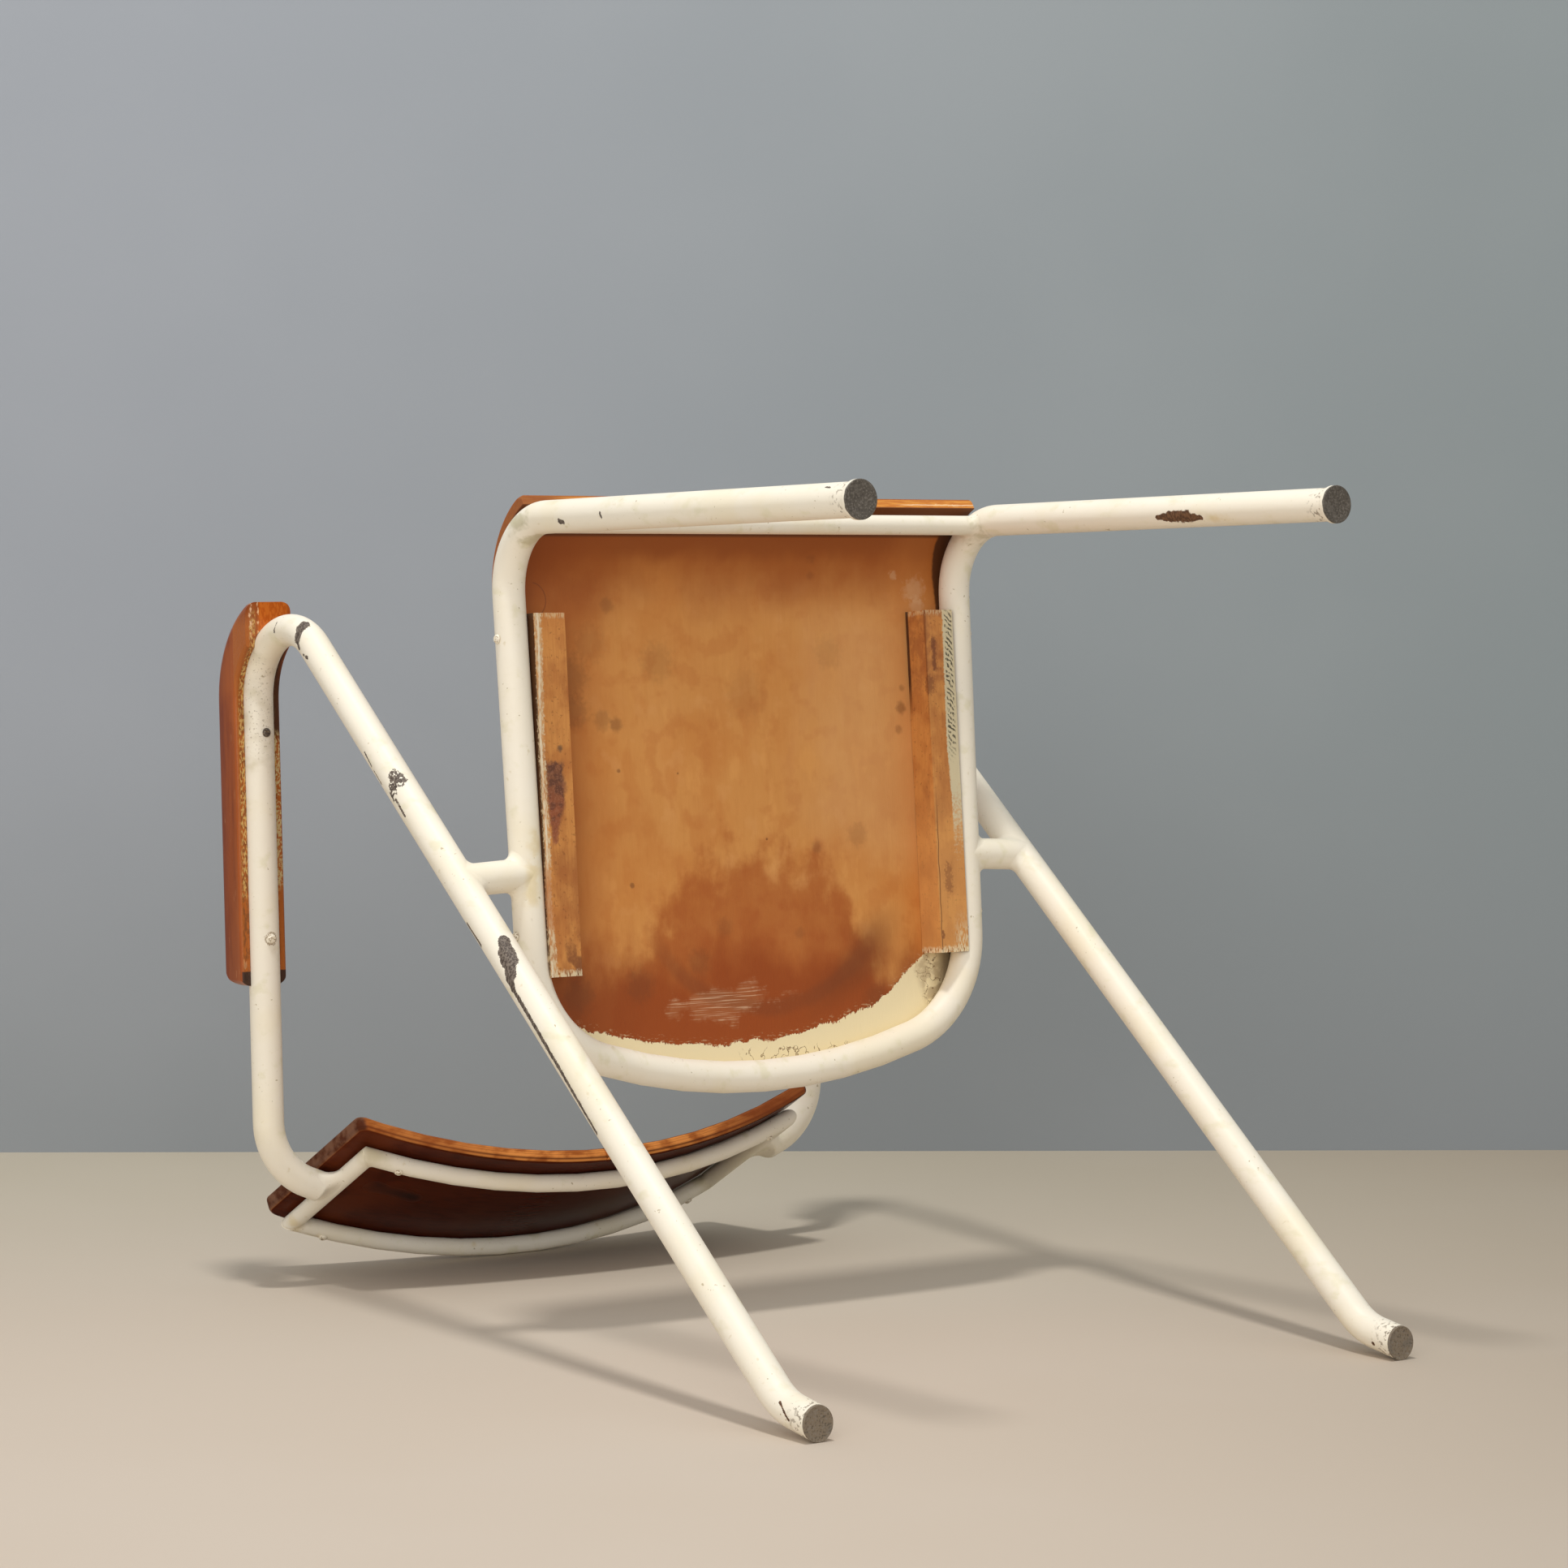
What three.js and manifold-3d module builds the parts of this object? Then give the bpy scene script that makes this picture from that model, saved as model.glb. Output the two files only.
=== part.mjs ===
// Armchair of bent steel tube with a moulded plywood seat and back and two wooden
// armrests. Lengths are millimetres. The sitter faces -Y, +X is the sitter's left,
// +Z is up, and the feet stand on z = 0.
import * as THREE from 'three';
import { mergeVertices } from 'three/addons/utils/BufferGeometryUtils.js';
import Module from 'manifold-3d';

const wasm = await Module();
wasm.setup();

// Gaps, cuts and facets
const clearance = 0.3;            // gap that neighbouring solids keep
const cutOverrun = 20;            // how far a cut runs past what it cuts
const arcSag = 0.3;               // how far an arc's facets may lie from the true arc
const tubeSides = 16;
const boreSides = 10;
const smallTubeSides = 12;
const smallBoreSides = 8;
const screwSides = 10;

// Main tube: seat frame, arms, rear legs and spacers
const tubeDiameter = 24;
const tubeWall = 1.5;
const bendRadius = 53;            // centre line radius of every bend made on the same die

// Seat frame: two front legs and the loop that carries the seat, one bent tube
const legSpacing = 416;           // between the front legs' centre lines, at the seat
const frontFootSplay = 4;         // each front foot stands this far outside its leg's top
const frontFootY = 4;             // the front legs reach back a little
const seatFrameHeight = 431;      // centre line height where the seat's slope starts
const seatSlopeDegrees = 3;       // the seat falls to the rear
const seatFrameDepth = 418;       // along the slope, to the middle of the rear curve
const seatSideDraw = 6;           // each side line draws in this far on its way to the corner
const seatCornerInset = 43;       // from that place to the middle of the rear curve
const seatCornerRadius = 82;
const seatRearRadius = 500;

// Thin rail across the top of the front legs
const railDiameter = 15;
const railWall = 1.2;
const railDrop = 36;              // below seatFrameHeight

// Arm tubes: rear foot, rear leg, arm and the hook that meets the back, one bent tube
const armHeight = 701;            // centre line of the arm
const armCornerY = 11;            // where the lines of arm and rear leg would cross
const armOutset = 53;             // from the front leg's centre line out to the rear leg's
const armDraw = 2.5;              // each arm draws in this far on its way to the rear bend
const armRearY = 488;             // where the lines of arm and hook would cross
const hookSlant = 20;             // the hook's end lies this far behind the rear bend
const hookEndProud = 8.5;         // the hook's end line, outside the upright's centre line
const hookEndBehind = 2.5;        // and behind it
const hookBevelDegrees = 40;      // the hook's end is cut back behind the upright
const kneeY = 595;                // where the lines of rear leg and foot would cross
const kneeHeight = 38;
const footKick = 8;               // the rear foot's centre on the floor lies behind the knee
const spacerLead = 3;             // spacers lie in front of where seat frame and rear leg pass

// Back frame: two bowed rails and two uprights of thinner tube, mitred at the corners
const backTubeDiameter = 14;
const backTubeWall = 1.2;
const backFrameInset = 58.5;      // from the arm's centre line, at its rear bend, to the upright
const backFrameDrop = 49;         // the lower rail lies below the arms' centre lines
const backRakeDegrees = 27.5;
const backFrameRise = 130;        // from rail to rail, along the rake
const backBow = 38;               // depth of the rails' curve

// Plywood seat
const seatPlyThickness = 8;
const seatPlySideLap = 1;         // past the centre line of the side tubes
const seatPlyRearLap = 2;         // past the centre line of the rear tube
const seatCurlGap = 3;            // the curl's underside runs this far outside the tube's bend
const seatCurlDegrees = 66;
const seatCurlLead = 1.8;         // the curl starts this far before the tube's bend
const seatFrontCornerRadius = 14;

// Battens under the seat, glued to it inside the side tubes
const battenWidth = 27;
const battenHeight = 24;
const battenSideGap = 0.6;        // to the side tubes
const battenFrontDepth = 69;      // along the slope
const battenRearInset = 84;       // from its rear end to the middle of the rear curve

// Plywood back
const backPlyThickness = 11;
const backPlySideLap = 14;        // past the centre lines of the uprights
const backPlyLowerLap = 25;       // past the centre line of the lower rail
const backPlyUpperLap = 13;
const backPlyLowerCornerRadius = 8;
const backPlyUpperCornerRadius = 9;

// Armrests, grooved over the upper half of the arm tubes
const armrestWidth = 40;
const armrestHeight = 29.5;       // above the arm's centre line
const armrestRearInset = 141;     // from its rear end to the arm's rear bend
const armrestNoseHeight = 19;     // the nose ends this far below the arm's centre line
const armrestEdgeRadius = 7;
const armrestCornerRadius = 10;
const armrestTailRadius = 13;

// Glides in the tube ends
const frontGlideLip = 1.5;        // the front glide's rim stands out past the tube
const frontGlideThickness = 5;
const glideChamfer = 0.8;
const rearGlideThickness = 2;
const glideStemLength = 12;

// Screws
const screwShankDiameter = 4;
const screwHeadDiameter = 7.6;
const screwHeadHeight = 2;
const screwSlotWidth = 1.1;
const screwSlotDepth = 0.9;
const screwShoulderShares = [0.93, 0.5];   // of the head's radius and height
const screwCrownShare = 0.55;     // of the head's radius
const armrestScrewInset = 36;     // from the armrest's rear end to the rear screw
const armrestScrewSpacing = 158;
const armrestScrewBite = 9;       // how far a screw goes into the wood
const seatScrewFrontInset = 18;   // from the batten's ends
const seatScrewRearInset = 31;
const seatScrewBite = 16;
const backScrewInset = 25;        // from the upright's centre line
const backScrewBite = 6;

// Derived sizes
const tubeRadius = tubeDiameter / 2;
const backTubeRadius = backTubeDiameter / 2;
const slope = THREE.MathUtils.degToRad(seatSlopeDegrees);
const rake = THREE.MathUtils.degToRad(backRakeDegrees);
const boreFlatRadius = (tubeRadius - tubeWall) * Math.cos(Math.PI / boreSides);
const plyUnderside = tubeRadius + clearance;
const frontBendReach = bendRadius * Math.tan((Math.PI / 2 + slope) / 2);
const frontFootSpacing = legSpacing + 2 * frontFootSplay;
const seatCornerDepth = seatFrameDepth - seatCornerInset;
const seatCurlRadius = bendRadius + tubeRadius + seatCurlGap;
const seatCurlStart = frontBendReach - seatCurlLead;
const battenRearDepth = seatFrameDepth - battenRearInset;
const seatScrewDepths = [battenFrontDepth + seatScrewFrontInset, battenRearDepth - seatScrewRearInset];

const armSpacing = legSpacing + 2 * armOutset;
const armRearSpacing = armSpacing - 2 * armDraw;
const rearFootY = kneeY + footKick;
const armrestRearY = armRearY - armrestRearInset;
const armrestScrewRearY = armrestRearY - armrestScrewInset;
const armrestScrewYs = [armrestScrewRearY - armrestScrewSpacing, armrestScrewRearY];
const frontGlideDiameter = tubeDiameter + 2 * frontGlideLip;

const backFrameWidth = armRearSpacing - 2 * backFrameInset;
const backFrameHeight = armHeight - backFrameDrop;
const hookEndSpacing = backFrameWidth + 2 * hookEndProud;
const hookEndY = armRearY + hookSlant;
const backFrameY = hookEndY - hookEndBehind - backFrameDrop * Math.tan(rake);
const backScrewSpacing = backFrameWidth - 2 * backScrewInset;

// Spacers lie straight across where the seat frame and the rear leg pass each other
const legRun = (kneeY - armCornerY) / (armHeight - kneeHeight);
const passing = armCornerY + (armHeight - seatFrameHeight) * legRun;
const spacerDepth = passing / (Math.cos(slope) - Math.sin(slope) * legRun) - spacerLead;

const V = (x, y, z) => new THREE.Vector3(x, y, z);
const X = V(1, 0, 0);
const Y = V(0, 1, 0);
const Z = V(0, 0, 1);

// Materials
const cream = new THREE.MeshStandardMaterial({ color: 0xe6dfcb, roughness: 0.42, metalness: 0 });
const plySeat = new THREE.MeshStandardMaterial({ color: 0xa8622a, roughness: 0.5, metalness: 0 });
const plyBack = new THREE.MeshStandardMaterial({ color: 0x5a2314, roughness: 0.35, metalness: 0 });
const battenWood = new THREE.MeshStandardMaterial({ color: 0xa66c34, roughness: 0.6, metalness: 0 });
const armWood = new THREE.MeshStandardMaterial({ color: 0x8a3f1c, roughness: 0.35, metalness: 0 });
const glidePlastic = new THREE.MeshStandardMaterial({ color: 0x3b3735, roughness: 0.8, metalness: 0 });
const screwSteel = new THREE.MeshStandardMaterial({ color: 0x6d675e, roughness: 0.5, metalness: 0.8 });

// A path given by its own rings: a ring's centre and direction at each station. Where a
// direction across a flat path is given, the section's second axis keeps to it.
class StationPath extends THREE.Curve {
  constructor(stations, across) {
    super();
    this.stations = stations;
    this.across = across;
  }
  at(share) {
    return this.stations[Math.round(share * (this.stations.length - 1))];
  }
  getPoint(share, target = new THREE.Vector3()) {
    return target.copy(this.at(share).point);
  }
  getPointAt(share, target = new THREE.Vector3()) {
    return target.copy(this.at(share).point);
  }
  getTangentAt(share, target = new THREE.Vector3()) {
    return target.copy(this.at(share).tangent);
  }
  computeFrenetFrames(segments, closed) {
    if (!this.across) return super.computeFrenetFrames(segments, closed);
    const tangents = this.stations.map(({ tangent }) => tangent.clone());
    const binormals = tangents.map(() => this.across.clone());
    const normals = tangents.map((tangent) => this.across.clone().cross(tangent).normalize());
    return { tangents, normals, binormals };
  }
}

function arcSteps(radius, angle) {
  return Math.ceil(Math.abs(angle) / (2 * Math.acos(1 - arcSag / radius)));
}

// Stations of an arc: from start, heading along tangent, turning about the axis
function arcStations(start, tangent, axis, radius, angle) {
  const steps = arcSteps(radius, angle);
  const inward = axis.clone().cross(tangent).normalize();
  const centre = start.clone().addScaledVector(inward, radius);
  const stations = [];
  for (let i = 0; i <= steps; i += 1) {
    const turn = (angle * i) / steps;
    const spoke = start.clone().sub(centre).applyAxisAngle(axis, turn);
    const heading = tangent.clone().applyAxisAngle(axis, turn);
    stations.push({ point: spoke.add(centre), tangent: heading });
  }
  return stations;
}

// Stations of a line through the corners, with an arc of the given radius at each inner one
function bentStations(corners, radii) {
  const first = corners[1].clone().sub(corners[0]).normalize();
  const stations = [{ point: corners[0].clone(), tangent: first }];
  for (let i = 1; i < corners.length - 1; i += 1) {
    const into = corners[i].clone().sub(corners[i - 1]).normalize();
    const out = corners[i + 1].clone().sub(corners[i]).normalize();
    const turn = into.angleTo(out);
    const axis = into.clone().cross(out).normalize();
    const start = corners[i].clone().addScaledVector(into, -radii[i - 1] * Math.tan(turn / 2));
    stations.push(...arcStations(start, into, axis, radii[i - 1], turn));
  }
  const last = corners.at(-1);
  stations.push({ point: last.clone(), tangent: last.clone().sub(corners.at(-2)).normalize() });
  return stations;
}

function circlePoints(radius, sides) {
  const points = [];
  for (let i = 0; i < sides; i += 1) {
    const angle = (2 * Math.PI * i) / sides;
    points.push(new THREE.Vector2(radius * Math.cos(angle), radius * Math.sin(angle)));
  }
  return points;
}

function sweep(section, stations, across) {
  const extrudePath = new StationPath(stations, across);
  return new THREE.ExtrudeGeometry(section, { steps: stations.length - 1, extrudePath });
}

// A hollow tube, open at both ends
function tube(stations, diameter, wall, sides, innerSides) {
  const section = new THREE.Shape(circlePoints(diameter / 2, sides));
  section.holes.push(new THREE.Path(circlePoints(diameter / 2 - wall, innerSides)));
  return solid(sweep(section, stations));
}

// The space that a round bar and its gap take up, for cutting what meets it
function barCut(stations, diameter, sides) {
  const radius = (diameter / 2 + clearance) / Math.cos(Math.PI / sides);
  return solid(sweep(new THREE.Shape(circlePoints(radius, sides)), stations));
}

// A closed three.js geometry as a solid, with its faces turned out
function solid(geometry) {
  const bare = geometry.clone();
  bare.deleteAttribute('normal');
  bare.deleteAttribute('uv');
  const merged = mergeVertices(bare);
  const position = merged.attributes.position;
  const index = merged.index.array;
  const [a, b, c] = [V(0, 0, 0), V(0, 0, 0), V(0, 0, 0)];
  let volume = 0;
  for (let i = 0; i < index.length; i += 3) {
    a.fromBufferAttribute(position, index[i]);
    b.fromBufferAttribute(position, index[i + 1]);
    c.fromBufferAttribute(position, index[i + 2]);
    volume += a.dot(b.cross(c));
  }
  const corners = [];
  for (let i = 0; i < index.length; i += 3) {
    const [p, q, r] = [index[i], index[i + 1], index[i + 2]];
    const flat = p === q || q === r || r === p;
    if (!flat) corners.push(p, ...(volume < 0 ? [r, q] : [q, r]));
  }
  const triVerts = new Uint32Array(corners);
  return new wasm.Manifold(new wasm.Mesh({ numProp: 3, vertProperties: position.array, triVerts }));
}

function geometryOf(manifold) {
  const mesh = manifold.getMesh();
  const geometry = new THREE.BufferGeometry();
  const positions = [];
  for (let i = 0; i < mesh.numVert; i += 1) {
    const at = i * mesh.numProp;
    positions.push(mesh.vertProperties[at], mesh.vertProperties[at + 1], mesh.vertProperties[at + 2]);
  }
  geometry.setAttribute('position', new THREE.Float32BufferAttribute(positions, 3));
  geometry.setIndex(Array.from(mesh.triVerts));
  geometry.computeVertexNormals();
  return geometry;
}

// An outline extruded along its own third axis, then turned so that its axes become these
function prism(points, depth, alongX, alongY, origin) {
  const shape = new THREE.Shape(points);
  const geometry = new THREE.ExtrudeGeometry(shape, { depth, bevelEnabled: false });
  const frame = new THREE.Matrix4().makeBasis(alongX, alongY, alongX.clone().cross(alongY));
  frame.setPosition(origin);
  geometry.applyMatrix4(frame);
  return solid(geometry);
}

// Points of an arc in an outline, its angles counted from the first axis
function arcPoints(x, y, radius, from, to, steps = arcSteps(radius, to - from)) {
  const points = [];
  for (let i = 0; i <= steps; i += 1) {
    const angle = from + ((to - from) * i) / steps;
    points.push(new THREE.Vector2(x + radius * Math.cos(angle), y + radius * Math.sin(angle)));
  }
  return points;
}

// A rectangle whose corners have their own radii, lower left first, counterclockwise
function roundedRectangle(left, bottom, right, top, radii) {
  const quarter = Math.PI / 2;
  return [[left, bottom], [right, bottom], [right, top], [left, top]].flatMap(([x, y], i) => {
    const radius = radii[i];
    if (radius === 0) return [new THREE.Vector2(x, y)];
    const centreX = x + (x === left ? radius : -radius);
    const centreY = y + (y === bottom ? radius : -radius);
    return arcPoints(centreX, centreY, radius, (i + 2) * quarter, (i + 3) * quarter);
  });
}

const chair = new THREE.Group();

function piece(name, geometry, material, parent = chair) {
  const shape = geometry.isBufferGeometry ? geometry : geometryOf(geometry);
  const mesh = new THREE.Mesh(shape, material);
  mesh.name = name;
  parent.add(mesh);
  return mesh;
}

const sides = [['right', -1], ['left', 1]];

// Places on the seat's plane: x, distance along the slope, height above the centre lines
function onSeat(x, along, above = 0) {
  const y = along * Math.cos(slope) + above * Math.sin(slope);
  const z = seatFrameHeight - along * Math.sin(slope) + above * Math.cos(slope);
  return V(x, y, z);
}
const seatBack = V(0, Math.cos(slope), -Math.sin(slope));
const seatUp = V(0, Math.sin(slope), Math.cos(slope));
const sideTaper = seatSideDraw / seatCornerDepth;

function seatHalfWidth(along) {
  return legSpacing / 2 - sideTaper * along;
}

// The loop's rear corner, in the seat's plane: an arc that touches the side line and the
// large rear arc, moved outward by the given offset
function seatLoop(offset, rearOffset = offset) {
  const direction = new THREE.Vector2(-sideTaper, 1).normalize();
  const inward = new THREE.Vector2(-direction.y, direction.x);
  const origin = new THREE.Vector2(legSpacing / 2, 0).addScaledVector(inward, -offset);
  const corner = seatCornerRadius + offset;
  const rear = seatRearRadius + rearOffset;
  const rearCentre = new THREE.Vector2(0, seatFrameDepth - seatRearRadius);
  const start = origin.clone().addScaledVector(inward, corner).sub(rearCentre);
  const half = start.dot(direction);
  const rest = start.lengthSq() - (rear - corner) ** 2;
  const along = -half + Math.sqrt(half * half - rest);
  const centre = start.clone().addScaledVector(direction, along).add(rearCentre);
  const sideEnd = centre.clone().addScaledVector(inward, -corner);
  const spoke = centre.clone().sub(rearCentre).normalize();
  const cornerTurn = Math.acos(THREE.MathUtils.clamp(spoke.dot(inward.clone().negate()), -1, 1));
  const rearTurn = Math.atan2(spoke.x, spoke.y);
  return { origin, direction, corner, rear, rearCentre, sideEnd, centre, cornerTurn, rearTurn };
}

// Seat frame
const loop = seatLoop(0);
const frontLegEnd = frontGlideThickness + clearance;

function halfFrameStations(side) {
  const legTop = V((side * legSpacing) / 2, 0, seatFrameHeight);
  const legFoot = V((side * frontFootSpacing) / 2, frontFootY, 0);
  const legEnd = legFoot.clone().lerp(legTop, frontLegEnd / seatFrameHeight);
  const sideEnd = onSeat(side * loop.sideEnd.x, loop.sideEnd.y);
  const stations = bentStations([legEnd, legTop, sideEnd], [bendRadius]);
  const last = stations.pop();
  const axis = seatUp.clone().multiplyScalar(side);
  const corner = arcStations(sideEnd, last.tangent, axis, seatCornerRadius, loop.cornerTurn);
  const rearStart = corner.at(-1);
  const rear = arcStations(rearStart.point, rearStart.tangent, axis, seatRearRadius, loop.rearTurn);
  return [...stations, ...corner, ...rear.slice(1)];
}

const rightHalf = halfFrameStations(-1);
const leftHalf = halfFrameStations(1).slice(0, -1).reverse();
const leftReversed = leftHalf.map(({ point, tangent }) => ({ point, tangent: tangent.clone().negate() }));
const frameStations = [...rightHalf, ...leftReversed];
const seatFrameCut = barCut(frameStations, tubeDiameter, tubeSides);

// Arm tubes
const armCorner = (side) => V((side * armSpacing) / 2, armCornerY, armHeight);
const knee = (side) => V((side * armSpacing) / 2, kneeY, kneeHeight);
const footDirection = V(0, rearFootY - kneeY, -kneeHeight).normalize();

function armStations(side) {
  const foot = V((side * armSpacing) / 2, rearFootY, 0).addScaledVector(footDirection, cutOverrun);
  const rear = V((side * armRearSpacing) / 2, armRearY, armHeight);
  const hookEnd = V((side * hookEndSpacing) / 2, hookEndY, armHeight);
  const corners = [foot, knee(side), armCorner(side), rear, hookEnd];
  return bentStations(corners, [bendRadius, bendRadius, bendRadius]);
}

// Places on the back's frame: x, distance up the rake, distance behind the uprights' plane
const backUp = V(0, Math.sin(rake), Math.cos(rake));
const backRear = V(0, Math.cos(rake), -Math.sin(rake));
const backRadius = ((backFrameWidth / 2) ** 2 + backBow ** 2) / (2 * backBow);
const backTurn = Math.asin(backFrameWidth / 2 / backRadius);

function onBack(x, up, behind) {
  return V(x, backFrameY, backFrameHeight).addScaledVector(backUp, up).addScaledVector(backRear, behind);
}

// A place on the bowed sheet: angle from the middle, distance up, distance behind the rails
function onBow(angle, up, behind) {
  const radius = backRadius + behind;
  const depth = backBow - backRadius + radius * Math.cos(angle);
  return onBack(radius * Math.sin(angle), up, depth);
}

function uprightStations(side, overrun) {
  const x = (side * backFrameWidth) / 2;
  return bentStations([onBack(x, -overrun, 0), onBack(x, backFrameRise + overrun, 0)], []);
}

function railStations(up, overrun) {
  const start = onBow(-backTurn, up, 0);
  const heading = X.clone().applyAxisAngle(backUp, backTurn);
  const stations = arcStations(start, heading, backUp.clone().negate(), backRadius, 2 * backTurn);
  stations.unshift({ point: start.clone().addScaledVector(heading, -overrun), tangent: heading.clone() });
  const end = stations.at(-1);
  const past = end.point.clone().addScaledVector(end.tangent, overrun);
  stations.push({ point: past, tangent: end.tangent.clone() });
  return stations;
}

// Screw, its head on z = 0 and below, its shank upward
function screwGeometry(length) {
  const headRadius = screwHeadDiameter / 2;
  const shankRadius = screwShankDiameter / 2;
  const profile = [
    new THREE.Vector2(0, length),
    new THREE.Vector2(shankRadius, length),
    new THREE.Vector2(shankRadius, 0),
    new THREE.Vector2(headRadius, 0),
    new THREE.Vector2(headRadius * screwShoulderShares[0], -screwHeadHeight * screwShoulderShares[1]),
    new THREE.Vector2(headRadius * screwCrownShare, -screwHeadHeight),
    new THREE.Vector2(0, -screwHeadHeight),
  ];
  const turned = new THREE.LatheGeometry(profile.reverse(), screwSides);
  turned.rotateX(Math.PI / 2);
  return solid(turned);
}

// A round hole's solid, from a place, along a direction
function boreCut(place, direction, before, after) {
  const radius = (screwShankDiameter / 2 + clearance) / Math.cos(Math.PI / screwSides);
  const length = before + after;
  const geometry = new THREE.CylinderGeometry(radius, radius, length, screwSides);
  const turn = new THREE.Quaternion().setFromUnitVectors(Y, direction);
  const middle = place.clone().addScaledVector(direction, (after - before) / 2);
  geometry.applyMatrix4(new THREE.Matrix4().compose(middle, turn, V(1, 1, 1)));
  return solid(geometry);
}

// Each screw: the place on the part under its head, its direction, and its length
const armX = (y) => {
  const share = (y - armCornerY) / (armRearY - armCornerY);
  return THREE.MathUtils.lerp(armSpacing, armRearSpacing, share) / 2;
};
const armrestScrewLength = 2 * (tubeRadius + clearance) + armrestScrewBite;
const seatScrewLength = 2 * tubeRadius + clearance + battenSideGap + seatScrewBite;
const backScrewLength = 2 * (backTubeRadius + clearance) + backScrewBite;

function armrestScrews(side) {
  return armrestScrewYs.map((y) => ({
    place: V(side * armX(y), y, armHeight - tubeRadius - clearance),
    direction: Z,
    length: armrestScrewLength,
  }));
}

function seatScrews(side) {
  return seatScrewDepths.map((along) => ({
    place: onSeat(side * (seatHalfWidth(along) + tubeRadius + clearance), along),
    direction: X.clone().multiplyScalar(-side),
    length: seatScrewLength,
  }));
}

function backScrews(side) {
  const angle = Math.asin((side * backScrewSpacing) / 2 / backRadius);
  const direction = onBow(angle, 0, 0).sub(onBow(angle, 0, 1)).normalize();
  return [0, backFrameRise].map((up) => ({
    place: onBow(angle, up, backTubeRadius + clearance),
    direction,
    length: backScrewLength,
  }));
}

function drilled(body, screws) {
  return screws.reduce((rest, { place, direction, length }) => (
    rest.subtract(boreCut(place, direction, cutOverrun, length + clearance))
  ), body);
}

// Seat frame, with the holes of its screws
const allSeatScrews = sides.flatMap(([, side]) => seatScrews(side));
const seatFrame = tube(frameStations, tubeDiameter, tubeWall, tubeSides, boreSides);
piece('seat_frame_tube', drilled(seatFrame, allSeatScrews), cream);

// Front rail, shaped at its ends to the legs' bends
const bendStart = seatFrameHeight - frontBendReach;
const railHeight = seatFrameHeight - railDrop;
const railY = bendRadius - Math.sqrt(bendRadius ** 2 - (railHeight - bendStart) ** 2);
const railEnds = [-1, 1].map((side) => V((side * legSpacing) / 2, railY, railHeight));
const railTube = tube(bentStations(railEnds, []), railDiameter, railWall, smallTubeSides, smallBoreSides);
piece('front_rail', railTube.subtract(seatFrameCut), cream);

// A block that takes the corner behind the upright off the hook's end
function hookBevelCut(side) {
  const bevel = THREE.MathUtils.degToRad(hookBevelDegrees);
  const out = X.clone().multiplyScalar(side * Math.cos(bevel)).addScaledVector(backRear, -Math.sin(bevel));
  const upToHook = (armHeight - backFrameHeight) / Math.cos(rake);
  const size = 2 * tubeDiameter;
  const block = new THREE.BoxGeometry(size, size, size);
  const frame = new THREE.Matrix4().makeBasis(out, backUp.clone().cross(out), backUp);
  const reach = backTubeRadius + clearance - size / 2;
  frame.setPosition(onBack((side * backFrameWidth) / 2, upToHook, 0).addScaledVector(out, reach));
  block.applyMatrix4(frame);
  return solid(block);
}

// Arm tubes and the spacers that hold them to the seat frame
for (const [word, side] of sides) {
  const stations = armStations(side);
  const body = tube(stations, tubeDiameter, tubeWall, tubeSides, boreSides)
    .subtract(barCut(uprightStations(side, cutOverrun), backTubeDiameter, smallTubeSides))
    .subtract(hookBevelCut(side))
    .trimByPlane([0, 0, 1], rearGlideThickness + clearance);
  piece(`arm_leg_tube_${word}`, drilled(body, armrestScrews(side)), cream);

  const inner = onSeat(side * seatHalfWidth(spacerDepth), spacerDepth);
  const legShare = (armHeight - inner.z) / (armHeight - kneeHeight);
  const outer = armCorner(side).lerp(knee(side), legShare);
  const legBar = barCut(bentStations([armCorner(side), knee(side)], []), tubeDiameter, tubeSides);
  const spacer = tube(bentStations([inner, outer], []), tubeDiameter, tubeWall, tubeSides, boreSides);
  piece(`spacer_${word}`, spacer.subtract(seatFrameCut).subtract(legBar), cream);
}

// Back frame
function mitred(body, corner, railOut, uprightOut, isRail) {
  const normal = uprightOut.clone().sub(railOut).normalize().multiplyScalar(isRail ? 1 : -1);
  return body.trimByPlane(normal.toArray(), normal.dot(corner) + clearance / 2);
}

const backCorners = sides.flatMap(([, side]) => [0, backFrameRise].map((up) => ({
  side,
  up,
  corner: onBow(side * backTurn, up, 0),
  railOut: X.clone().multiplyScalar(side).applyAxisAngle(backUp, -side * backTurn),
  uprightOut: backUp.clone().multiplyScalar(up > 0 ? 1 : -1),
})));

for (const [word, up] of [['bottom', 0], ['top', backFrameRise]]) {
  const stations = railStations(up, cutOverrun);
  let body = tube(stations, backTubeDiameter, backTubeWall, smallTubeSides, smallBoreSides);
  for (const end of backCorners.filter((each) => each.up === up)) {
    body = mitred(body, end.corner, end.railOut, end.uprightOut, true);
  }
  const screws = sides.map(([, side]) => backScrews(side)[up > 0 ? 1 : 0]);
  piece(`back_${word}_rail`, drilled(body, screws), cream);
}

for (const [word, side] of sides) {
  const stations = uprightStations(side, cutOverrun);
  let body = tube(stations, backTubeDiameter, backTubeWall, smallTubeSides, smallBoreSides);
  for (const end of backCorners.filter((each) => each.side === side)) {
    body = mitred(body, end.corner, end.railOut, end.uprightOut, false);
  }
  piece(`back_upright_${word}`, body, cream);
}

// Plywood seat: a flat sheet that curls down over the front bends
const seatEdge = seatLoop(seatPlySideLap, seatPlyRearLap);
const seatCurl = THREE.MathUtils.degToRad(seatCurlDegrees);
const seatCurlOuter = seatCurlRadius + seatPlyThickness;
const seatFront = seatCurlStart - seatCurlOuter * Math.sin(seatCurl);
const seatRear = seatFrameDepth + seatPlyRearLap;

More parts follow.
